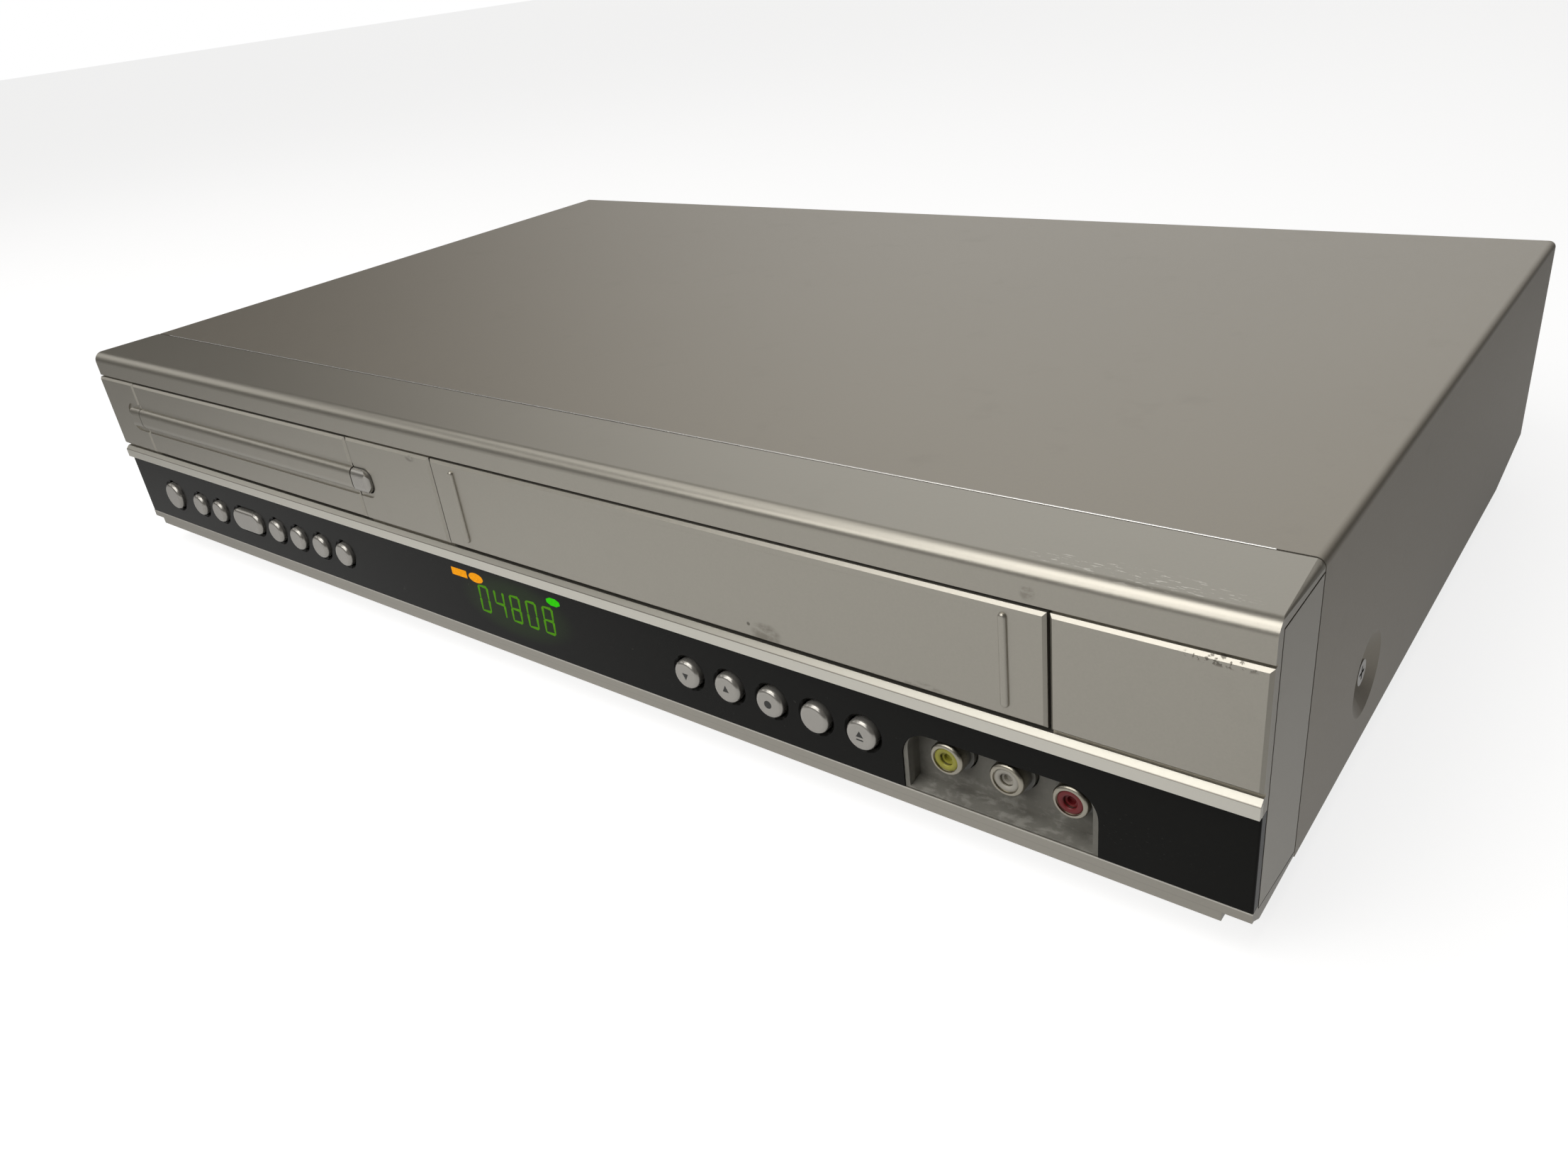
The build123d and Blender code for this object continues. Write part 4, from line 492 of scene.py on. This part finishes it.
class COMBO_OT_finishes(bpy.types.Operator):
    """Build every finish and put it on the solids that stay as they are"""
    bl_idname = "combo.finishes"
    bl_label = "Finishes"

    def execute(self, context):
        case, display = settings()
        build_speckle_group()
        build_wear_group()
        build_area_group()
        build_painted_light_band_group()
        cover, bezel, trim = tuple(case.cover_colour), tuple(case.bezel_colour), tuple(case.trim_colour)
        fine = case.speckle * 0.6
        scuffs = (
            dict(Mark_Colour=tone(112, 108, 100), Centre=(0.0, 0.0, TOP_Z), Half_Size=(0.2, 0.11, 0.01),
                 Grain=(60.0, 1400.0, 60.0), Threshold=0.70, Softness=0.05, Amount=0.3 * case.wear),
        )
        dust = (
            dict(Mark_Colour=tone(176, 174, 166), Centre=(0.1622, FACE_Y + 0.003, 0.0135),
                 Half_Size=(0.030, 0.010, 0.006), Grain=(260.0, 420.0, 420.0), Threshold=0.50,
                 Softness=0.14, Amount=0.6 * case.wear),
        )
        # Painted highlight on the ledge's lower face and upper facet, and a painted shade line in the crease
        # between them.
        ledge_painted_highlight_and_shade = (
            dict(Band_Colour=tone(220, 217, 207), Low=0.03685, High=0.0400),
            dict(Band_Colour=tone(178, 175, 165), Low=0.0400, High=0.04125),
            dict(Band_Colour=tone(120, 116, 108), Low=0.03992, High=0.04012),
        )
        # Painted highlight along the trim's top edge and a painted shade line at its step.
        trim_painted_highlight_and_shade = (
            dict(Band_Colour=tone(206, 203, 194), Low=0.01285, High=0.0135),
            dict(Band_Colour=tone(160, 157, 148), Low=0.01075, High=0.01095),
        )
        paint_material("Cover Paint", cover, case.speckle, 1500.0, 0.40, 0.8, 0.10, areas=scuffs)
        paint_material("Bezel Silver", bezel, fine, 1900.0, 0.33, 0.8, 0.08,
                       areas=silver_marks(case.wear), painted_light_bands=ledge_painted_highlight_and_shade)
        paint_material("Tray Silver", bezel, fine, 1900.0, 0.33, 0.8, 0.12)
        paint_material("Door Silver", bezel, fine, 1900.0, 0.33, 0.8, 0.06, areas=door_marks(case.wear))
        paint_material("Trim Silver", trim, fine, 1900.0, 0.33, 0.8, 0.10, painted_light_bands=trim_painted_highlight_and_shade)
        gloss_strip_material(case)
        paint_material("Recess Grey", tone(122, 120, 113), 0.25, 700.0, 0.62, 0.0, 0.35, 0.25, 0.4,
                       areas=dust)
        paint_material("Key Silver", tone(176, 173, 167), 0.03, 3000.0, 0.24, 0.7, 0.05, bump=0.015)
        paint_material("Symbol Grey", tone(48, 48, 46), 0.10, 2500.0, 0.5, 0.0)
        paint_material("Yellow Insert", tone(160, 156, 62), 0.12, 1600.0, 0.42, 0.0, 0.2, 0.2)
        paint_material("White Insert", tone(176, 172, 162), 0.08, 1600.0, 0.42, 0.0, 0.2, 0.1)
        paint_material("Red Insert", tone(112, 24, 28), 0.12, 1600.0, 0.40, 0.0, 0.2, 0.2)
        paint_material("Green Insert", tone(40, 128, 60), 0.12, 1600.0, 0.38, 0.0, 0.2, 0.2)
        paint_material("Blue Insert", tone(38, 66, 150), 0.12, 1600.0, 0.38, 0.0, 0.2, 0.2)
        glow_material("Lit Figure", tuple(display.glow), 0.85)
        glow_material("Lit Lamp", tuple(display.lamp_colour), 0.95)
        glow_material("Lit Green Lamp", tone(52, 206, 14), 0.9)
        paint_material("Zinc Sheet", tone(176, 178, 178), 0.10, 300.0, 0.38, 0.85, 0.10, 0.2)
        paint_material("Bright Steel", tone(196, 194, 190), 0.08, 900.0, 0.25, 0.95, 0.1)
        paint_material("Turned Aluminium", tone(205, 206, 208), 0.06, 1200.0, 0.22, 0.95, 0.0)
        jack_material()
        paint_material("Foot Rubber", tone(32, 32, 32), 0.2, 900.0, 0.8, 0.0, 0.3, 0.2, 0.5)
        paint_material("Board Green", tone(36, 92, 52), 0.15, 250.0, 0.45, 0.0, 0.2, 0.2, 0.2)
        paint_material("Black Moulding", tone(36, 36, 37), 0.15, 1200.0, 0.55, 0.0, 0.2, 0.1, 0.4)
        paint_material("White Moulding", tone(214, 212, 202), 0.06, 1200.0, 0.5, 0.0, 0.1, 0.1, 0.2)
        paint_material("Display Glass", tone(30, 36, 30), 0.05, 900.0, 0.1, 0.0, 0.0)
        for node_name, finish_name in FINISH_OF_NODE.items():
            coat(node_name, finish_name)
        for key in KEYS:
            coat(key, "Key Silver")
        return {"FINISHED"}


# ---------------------------------------------------------------- modelling by hand
def add_shape(add, **values):
    """Deselect everything, add one primitive and return its object."""
    bpy.ops.object.select_all(action="DESELECT")
    add(**values)
    return bpy.context.active_object


def settle(piece):
    """Put the piece's place, turn and size into its mesh."""
    bpy.ops.object.select_all(action="DESELECT")
    piece.select_set(True)
    bpy.context.view_layer.objects.active = piece
    bpy.ops.object.transform_apply(location=True, rotation=True, scale=True)


def pick_faces(piece, test):
    """In edit mode, select only the faces whose centre and normal pass the test."""
    bpy.ops.mesh.select_mode(type="FACE")
    bpy.ops.mesh.select_all(action="DESELECT")
    shape = bmesh.from_edit_mesh(piece.data)
    for face in shape.faces:
        face.select_set(test(face.calc_center_median(), face.normal))
    bmesh.update_edit_mesh(piece.data)


def dress(piece, name, finish_name, body):
    """Name a finished piece, give it its finish and let it ride on its body."""
    piece.name = name
    piece.data.materials.clear()
    piece.data.materials.append(finish(finish_name))
    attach(piece, body)
    return piece


def join_pieces(pieces):
    """Join objects into the first one."""
    bpy.ops.object.select_all(action="DESELECT")
    for piece in pieces:
        piece.select_set(True)
    bpy.context.view_layer.objects.active = pieces[0]
    if len(pieces) > 1:
        bpy.ops.object.join()
    return pieces[0]


def front_plate(corners, radius, turn, wide, high, centre, depth, edge):
    """A thin flat plate with a bevelled rim that faces the front, from a filled circle."""
    plate = add_shape(
        bpy.ops.mesh.primitive_circle_add, vertices=corners, radius=radius, fill_type="NGON",
        location=centre, rotation=(math.pi / 2, turn, 0))
    settle(plate)
    for point in plate.data.vertices:
        point.co.x = centre[0] + (point.co.x - centre[0]) * wide
        point.co.z = centre[2] + (point.co.z - centre[2]) * high
    bpy.ops.object.mode_set(mode="EDIT")
    bpy.ops.mesh.select_all(action="SELECT")
    bpy.ops.mesh.extrude_region_move(TRANSFORM_OT_translate={"value": (0, depth, 0)})
    bpy.ops.mesh.select_all(action="SELECT")
    bpy.ops.mesh.normals_make_consistent(inside=False)
    pick_faces(plate, lambda middle, normal: normal.y < -0.9)
    bpy.ops.mesh.inset(thickness=edge, depth=edge * 0.25)
    bpy.ops.object.mode_set(mode="OBJECT")
    return plate


# ---------------------------------------------------------------- key symbols
class COMBO_OT_key_symbols(bpy.types.Operator):
    """Print the plain symbols on the keys at the right"""
    bl_idname = "combo.key_symbols"
    bl_label = "Key symbols"

    def execute(self, context):
        down, up = math.pi, 0.0
        small = 1.1 * MM
        symbols = {
            "channel_down_button": ((3, small, down, 1.0, 1.15, 0.0),),
            "channel_up_button": ((3, small, up, 1.0, 1.15, 0.0),),
            "record_button": ((32, 1.1 * MM, down, 1.0, 1.0, 0.0),),
            "eject_button": (
                (3, small, up, 1.05, 1.0, 0.40 * MM),
                (4, 1.35 * MM, math.pi / 4, 1.0, 0.18, -0.95 * MM),
            ),
        }
        for key, marks in symbols.items():
            low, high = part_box(key)
            face_x, face_z = (low.x + high.x) / 2, (low.z + high.z) / 2
            plates = []
            for corners, radius, turn, wide, tall, lift in marks:
                plates.append(front_plate(
                    corners, radius, turn, wide, tall,
                    (face_x, low.y - 0.00003, face_z + lift), 0.00006, 0.00002))
            symbol = join_pieces(plates)
            dress(symbol, key.replace("_button", "_symbol"), "Symbol Grey", key)
        return {"FINISHED"}


# ---------------------------------------------------------------- lit display
SEGMENTS = {
    "0": "abcdef", "1": "bc", "2": "abged", "3": "abgcd", "4": "fgbc",
    "5": "afgcd", "6": "afgedc", "7": "abc", "8": "abcdefg", "9": "abcdfg",
}
FIGURE_W = 4.6 * MM
FIGURE_H = 9.4 * MM
FIGURE_PITCH = 7.0 * MM
FIGURE_X = -9.6 * MM
FIGURE_Z = 21.0 * MM
STROKE = 0.85 * MM
SLANT = 0.075


def lit_bar(length):
    """One six-sided bar of a figure, lying along X, pointed at both ends."""
    bar = front_plate(6, STROKE, 0.0, 1.0, 1.0, (0.0, 0.0, 0.0), 0.00005, 0.00003)
    for point in bar.data.vertices:
        side = math.copysign(1.0, point.co.x)
        tip = abs(point.co.x) > STROKE * 0.75
        point.co.x = side * (length / 2 if tip else length / 2 - STROKE / 2)
        point.co.z *= 0.5 / math.sin(math.pi / 3)
    return bar


class COMBO_OT_display(bpy.types.Operator):
    """Lay the lit figures and marks on the control strip"""
    bl_idname = "combo.display"
    bl_label = "Display"

    def execute(self, context):
        display = settings()[1]
        across, along = FIGURE_W - STROKE, FIGURE_H / 2 - STROKE / 2
        middle, top = FIGURE_H / 2, FIGURE_H - STROKE / 2
        places = {
            "a": (FIGURE_W / 2, top, False), "g": (FIGURE_W / 2, middle, False),
            "d": (FIGURE_W / 2, STROKE / 2, False),
            "f": (STROKE / 2, middle + along / 2, True),
            "b": (FIGURE_W - STROKE / 2, middle + along / 2, True),
            "e": (STROKE / 2, middle - along / 2, True),
            "c": (FIGURE_W - STROKE / 2, middle - along / 2, True),
        }
        flat, upright = lit_bar(across - 0.15 * MM), lit_bar(along - 0.15 * MM)
        for point in upright.data.vertices:
            point.co.x, point.co.z = point.co.z, point.co.x
        bpy.ops.object.select_all(action="DESELECT")
        upright.select_set(True)
        context.view_layer.objects.active = upright
        bpy.ops.object.mode_set(mode="EDIT")
        bpy.ops.mesh.select_all(action="SELECT")
        bpy.ops.mesh.normals_make_consistent(inside=False)
        bpy.ops.object.mode_set(mode="OBJECT")
        lit = []
        for order, figure in enumerate(display.figures):
            for segment in SEGMENTS[figure]:
                x, z, stands = places[segment]
                pattern = upright if stands else flat
                bar = pattern.copy()
                bar.data = pattern.data.copy()
                context.collection.objects.link(bar)
                for point in bar.data.vertices:
                    point.co.x += FIGURE_X + order * FIGURE_PITCH + x + SLANT * (z + point.co.z)
                    point.co.y += FACE_Y - 0.00003
                    point.co.z += FIGURE_Z + z
                lit.append(bar)
        for pattern in (flat, upright):
            bpy.data.objects.remove(pattern)
        dress(join_pieces(lit), "display_figures", "Lit Figure", "case")

        marks = (
            ("disc_mode_mark", 4, math.pi / 4, -16.5, 32.3, 7.0, 2.5, "Lit Lamp"),
            ("tape_mode_mark", 24, 0.0, -8.9, 32.2, 6.4, 3.2, "Lit Lamp"),
            ("ready_mark", 8, math.pi / 8, 24.7, 32.6, 5.4, 2.5, "Lit Green Lamp"),
        )
        for name, corners, turn, x, z, width, height, finish_name in marks:
            shape = 1 / math.cos(math.pi / corners) if corners < 24 else 1.0
            mark = front_plate(
                corners, 0.5 * MM * shape, turn, width, height,
                (x * MM, FACE_Y - 0.00003, z * MM), 0.00006, 0.00008)
            dress(mark, name, finish_name, "case")
        return {"FINISHED"}


# ---------------------------------------------------------------- sockets
RING_R = 2.30 * MM
RING_WIRE_R = 0.72 * MM
RING_FLATTENED = 0.5
CORE_R = 1.62 * MM
CORE_L = 2.0 * MM
CORE_BACK = 1.6 * MM
CORE_WALL = 0.6 * MM
CORE_HOLE = 0.9 * MM


def socket_ring(name, centre, facing, finish_name, body="case"):
    """A crowned coloured ring in a phono socket's mouth, and the core behind it in the same colour."""
    ring = add_shape(
        bpy.ops.mesh.primitive_torus_add, location=centre, rotation=(math.pi / 2, 0, 0),
        major_radius=RING_R, minor_radius=RING_WIRE_R, major_segments=56, minor_segments=16)
    settle(ring)
    for point in ring.data.vertices:
        point.co.y = centre[1] + (point.co.y - centre[1]) * RING_FLATTENED
    bpy.ops.object.shade_smooth()
    dress(ring, name + "_ring", finish_name, body)
    core = add_shape(
        bpy.ops.mesh.primitive_cylinder_add, vertices=40, radius=CORE_R, depth=CORE_L,
        location=(centre[0], centre[1] - facing * CORE_BACK, centre[2]), rotation=(math.pi / 2, 0, 0))
    settle(core)
    bpy.ops.object.mode_set(mode="EDIT")
    pick_faces(core, lambda middle, normal: normal.y * facing > 0.9)
    bpy.ops.mesh.inset(thickness=CORE_WALL, depth=0.0)
    bpy.ops.mesh.extrude_region_move(TRANSFORM_OT_translate={"value": (0, -facing * CORE_HOLE, 0)})
    bpy.ops.object.mode_set(mode="OBJECT")
    bpy.ops.object.shade_smooth_by_angle(angle=math.radians(35))
    dress(core, name + "_core", finish_name, body)


class COMBO_OT_front_sockets(bpy.types.Operator):
    """Set the coloured rings in the three front sockets"""
    bl_idname = "combo.front_sockets"
    bl_label = "Front sockets"

    def execute(self, context):
        for jack, finish_name in JACK_FINISHES.items():
            low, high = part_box(jack)
            centre = ((low.x + high.x) / 2, low.y + 0.58 * MM, (low.z + high.z) / 2)
            socket_ring(jack, centre, -1, finish_name)
        return {"FINISHED"}


class COMBO_OT_rear_sockets(bpy.types.Operator):
    """Set the coloured rings in the sockets on the back"""
    bl_idname = "combo.rear_sockets"
    bl_label = "Rear sockets"

    def execute(self, context):
        columns = {"1": "Yellow Insert", "2": "White Insert", "3": "Red Insert"}
        row = {
            "1": "Green Insert", "2": "Blue Insert", "3": "Red Insert",
            "4": "White Insert", "5": "Red Insert",
        }
        for name, mount in MOUNTS.items():
            if not name.startswith(("line_socket_", "video_socket_")):
                continue
            x, _, z = mount["pos_m"]
            tip_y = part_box(name[:name.index("_socket")] + "_sockets")[1].y
            last = name.split("_")[2]
            finishes = columns if name.startswith("line") else row
            socket_ring(name, (x, tip_y - 0.5 * MM, z), 1, finishes[last])
        return {"FINISHED"}


# ---------------------------------------------------------------- cover hem
class COMBO_OT_cover_hem(bpy.types.Operator):
    """Roll a fine bare hem along the cover's front edge, from fold to fold"""
    bl_idname = "combo.cover_hem"
    bl_label = "Cover hem"

    def execute(self, context):
        wire, sink = 0.26 * MM, 0.16 * MM
        route = [(side * (COVER_HALF_W - 9 * MM), TOP_Z - sink) for side in (-1, 1)]
        line = bpy.data.curves.new("cover_hem", "CURVE")
        line.dimensions = "3D"
        line.bevel_depth = wire
        line.bevel_resolution = 3
        line.use_fill_caps = True
        spline = line.splines.new("POLY")
        spline.points.add(len(route) - 1)
        for point, (x, z) in zip(spline.points, route):
            point.co = (x, COVER_FRONT_Y + 0.05 * MM, z, 1.0)
        hem = bpy.data.objects.new("cover_hem", line)
        context.collection.objects.link(hem)
        bpy.ops.object.select_all(action="DESELECT")
        hem.select_set(True)
        context.view_layer.objects.active = hem
        bpy.ops.object.convert(target="MESH")
        bpy.ops.object.shade_smooth()
        dress(context.active_object, "cover_hem", "Bright Steel", "case")
        return {"FINISHED"}


# ---------------------------------------------------------------- stage
CAMERA_PLACE = (0.26699, -0.31053, 0.18758)
CAMERA_RIGHT = (0.7895712, 0.6038051, -0.1095295)
CAMERA_DOWN = (0.2091964, -0.4326374, -0.8769617)
CAMERA_FORWARD = (-0.5769005, 0.6695105, -0.4679118)
FOCAL_PIXELS = 1695.297
CENTRE_PIXELS = (1118.633, 809.785)
PHOTO_SIZE = (2212, 1659)


class StageSettings(bpy.types.PropertyGroup):
    """Lamps, surroundings and floor."""
    key_power: FloatProperty(
        name="Key power", description="Power of the large overhead lamp at the front left",
        unit="POWER", min=0, default=3.8)
    near_power: FloatProperty(
        name="Near power", description="Power of the small lamp above the right end",
        unit="POWER", min=0, default=1.5)
    front_power: FloatProperty(
        name="Front power", description="Power of the low lamp before the front",
        unit="POWER", min=0, default=6.0)
    left_power: FloatProperty(
        name="Left power", description="Power of the low lamp at the front left",
        unit="POWER", min=0, default=0.75)
    dim_level: FloatProperty(
        name="Dim level", description="Brightness of the surroundings away from the light field",
        min=0, default=0.06)
    light_level: FloatProperty(
        name="Light level", description="Brightness of the light field behind the object",
        min=0, default=0.83)
    mirrored_floor: FloatProperty(
        name="Mirrored floor", description="Share of the floor's own brightness that gloss shows",
        min=0, max=1, default=0.52)


def soft_lamp(name, place, aim, size, power, colour=(1.0, 0.99, 0.97)):
    """A large rectangular lamp that looks at a point."""
    light = bpy.data.lights.new(name, "AREA")
    light.energy = power
    light.shape = "RECTANGLE"
    light.size, light.size_y = size
    light.color = colour
    lamp = bpy.data.objects.new(name, light)
    lamp.location = place
    lamp.rotation_euler = (Vector(aim) - Vector(place)).to_track_quat("-Z", "Y").to_euler()
    bpy.context.scene.collection.objects.link(lamp)
    return lamp


def soft_surroundings(dim_level, light_level):
    """A world with one soft light field behind the object, dim elsewhere, and white to the camera."""
    world = bpy.data.worlds.new("Studio")
    world.use_nodes = True
    sky = world.node_tree
    back = sky.nodes["Background"]
    direction = node(sky, "ShaderNodeTexCoord")
    side = vector_node(sky, "DOT_PRODUCT", direction.outputs["Generated"], (-0.28, 0.90, 0.33))
    fade = node(sky, "ShaderNodeMapRange", interpolation_type="SMOOTHSTEP")
    for name, value in (
            ("From Min", 0.66), ("From Max", 1.0), ("To Min", dim_level), ("To Max", light_level)):
        fade.inputs[name].default_value = value
    join(sky, side.outputs["Value"], fade.inputs["Value"])
    ray = node(sky, "ShaderNodeLightPath")
    strength = math_node(sky, "MAXIMUM", ray.outputs["Is Camera Ray"], fade.outputs[0])
    join(sky, strength, back.inputs["Strength"])
    warm = math_node(sky, "SUBTRACT", light_level, fade.outputs[0])
    tint = blend_colours(sky, math_node(sky, "MULTIPLY", warm, 0.8, clamp=True),
                         (1.0, 1.0, 0.99, 1.0), (1.0, 0.90, 0.78, 1.0))
    seen = blend_colours(sky, ray.outputs["Is Camera Ray"], tint, (1.0, 1.0, 1.0, 1.0))
    join(sky, seen, back.inputs["Color"])
    return world


class COMBO_OT_stage(bpy.types.Operator):
    """Add the floor, the lamps and the camera at the photograph's place"""
    bl_idname = "combo.stage"
    bl_label = "Stage"

    def execute(self, context):
        stage = context.scene.combo_stage
        floor = add_shape(bpy.ops.mesh.primitive_plane_add, size=12.0, location=(0, 0, -0.0002))
        floor.name = "floor"
        settle(floor)
        made, tree, shader = new_material("Pale Floor")
        path = node(tree, "ShaderNodeLightPath")
        mirrored = math_node(
            tree, "MAXIMUM", path.outputs["Is Glossy Ray"], path.outputs["Is Transmission Ray"])
        place = node(tree, "ShaderNodeTexCoord")
        parts = node(tree, "ShaderNodeSeparateXYZ")
        join(tree, place.outputs["Object"], parts.inputs[0])
        for axis, limits in (
                ("X", (-0.50, -0.02, 0.0, 1.0)), ("X", (0.17, 0.34, 1.0, 0.40)),
                ("Y", (-0.15, 0.15, 1.0, 0.62))):
            fade = node(tree, "ShaderNodeMapRange", interpolation_type="SMOOTHSTEP")
            for name, value in zip(("From Min", "From Max", "To Min", "To Max"), limits):
                fade.inputs[name].default_value = value
            join(tree, parts.outputs[axis], fade.inputs["Value"])
            mirrored = math_node(tree, "MULTIPLY", mirrored, fade.outputs[0])
        mirrored = math_node(tree, "MULTIPLY", mirrored, stage.mirrored_floor)
        seen = math_node(tree, "MAXIMUM", path.outputs["Is Camera Ray"], mirrored)
        shader.inputs["Base Color"].default_value = tone(168, 168, 168)
        shader.inputs["Roughness"].default_value = 0.9
        join(tree, seen, shader.inputs["Emission Strength"])
        shader.inputs["Emission Color"].default_value = (0.80, 0.80, 0.80, 1)
        floor.data.materials.append(made)

        context.scene.world = soft_surroundings(stage.dim_level, stage.light_level)
        soft_lamp("key_lamp", (-0.40, -0.36, 1.05), (0.0, -0.06, 0.05), (1.5, 0.8), stage.key_power)
        soft_lamp("near_lamp", (0.06, -0.40, 0.64), (0.13, -0.12, 0.05), (0.5, 0.4), stage.near_power)
        soft_lamp("left_lamp", (-1.10, -0.46, 0.56), (-0.05, -0.12, 0.06), (0.8, 0.35), stage.left_power)
        soft_lamp("front_lamp", (-0.25, -1.25, 0.80), (0.0, -0.13, 0.05), (1.3, 0.5), stage.front_power)

        lens = bpy.data.cameras.new("photo_camera")
        lens.sensor_fit = "HORIZONTAL"
        lens.sensor_width = 36.0
        lens.lens = FOCAL_PIXELS / PHOTO_SIZE[0] * 36.0
        lens.shift_x = -(CENTRE_PIXELS[0] - PHOTO_SIZE[0] / 2) / PHOTO_SIZE[0]
        lens.shift_y = (CENTRE_PIXELS[1] - PHOTO_SIZE[1] / 2) / PHOTO_SIZE[0]
        lens.clip_start = 0.01
        camera = bpy.data.objects.new("photo_camera", lens)
        right, down, forward = Vector(CAMERA_RIGHT), Vector(CAMERA_DOWN), Vector(CAMERA_FORWARD)
        turn = Matrix((right, -down, -forward)).transposed().to_4x4()
        camera.matrix_world = Matrix.Translation(Vector(CAMERA_PLACE)) @ turn
        context.scene.collection.objects.link(camera)
        context.scene.camera = camera
        context.scene.view_settings.view_transform = "Standard"
        return {"FINISHED"}


# ---------------------------------------------------------------- panel
class COMBO_PT_panel(bpy.types.Panel):
    """Lists the settings and the steps"""
    bl_label = "Combo Player"
    bl_idname = "COMBO_PT_panel"
    bl_space_type = "VIEW_3D"
    bl_region_type = "UI"
    bl_category = "Combo Player"

    def draw(self, context):
        for group in (context.scene.combo_case, context.scene.combo_display, context.scene.combo_stage):
            for name in group.__annotations__:
                self.layout.prop(group, name)
        for step in OPERATORS:
            self.layout.operator(step.bl_idname)


SETTINGS = (
    ("combo_case", CaseSettings),
    ("combo_display", DisplaySettings),
    ("combo_stage", StageSettings),
)
OPERATORS = (
    COMBO_OT_finishes, COMBO_OT_key_symbols, COMBO_OT_display, COMBO_OT_front_sockets,
    COMBO_OT_rear_sockets, COMBO_OT_cover_hem, COMBO_OT_stage,
)


def register():
    """Add the classes and the scene's settings."""
    for name, group in SETTINGS:
        bpy.utils.register_class(group)
        setattr(bpy.types.Scene, name, PointerProperty(type=group))
    for step in OPERATORS + (COMBO_PT_panel,):
        bpy.utils.register_class(step)


def unregister():
    """Take the classes and the settings away again."""
    for step in (COMBO_PT_panel,) + OPERATORS[::-1]:
        bpy.utils.unregister_class(step)
    for name, group in SETTINGS[::-1]:
        delattr(bpy.types.Scene, name)
        bpy.utils.unregister_class(group)


def main():
    """Dress the player."""
    register()
    bpy.ops.combo.finishes()
    bpy.ops.combo.key_symbols()
    bpy.ops.combo.display()
    bpy.ops.combo.front_sockets()
    bpy.ops.combo.rear_sockets()
    bpy.ops.combo.cover_hem()
    bpy.ops.combo.stage()


if __name__ == "__main__":
    main()
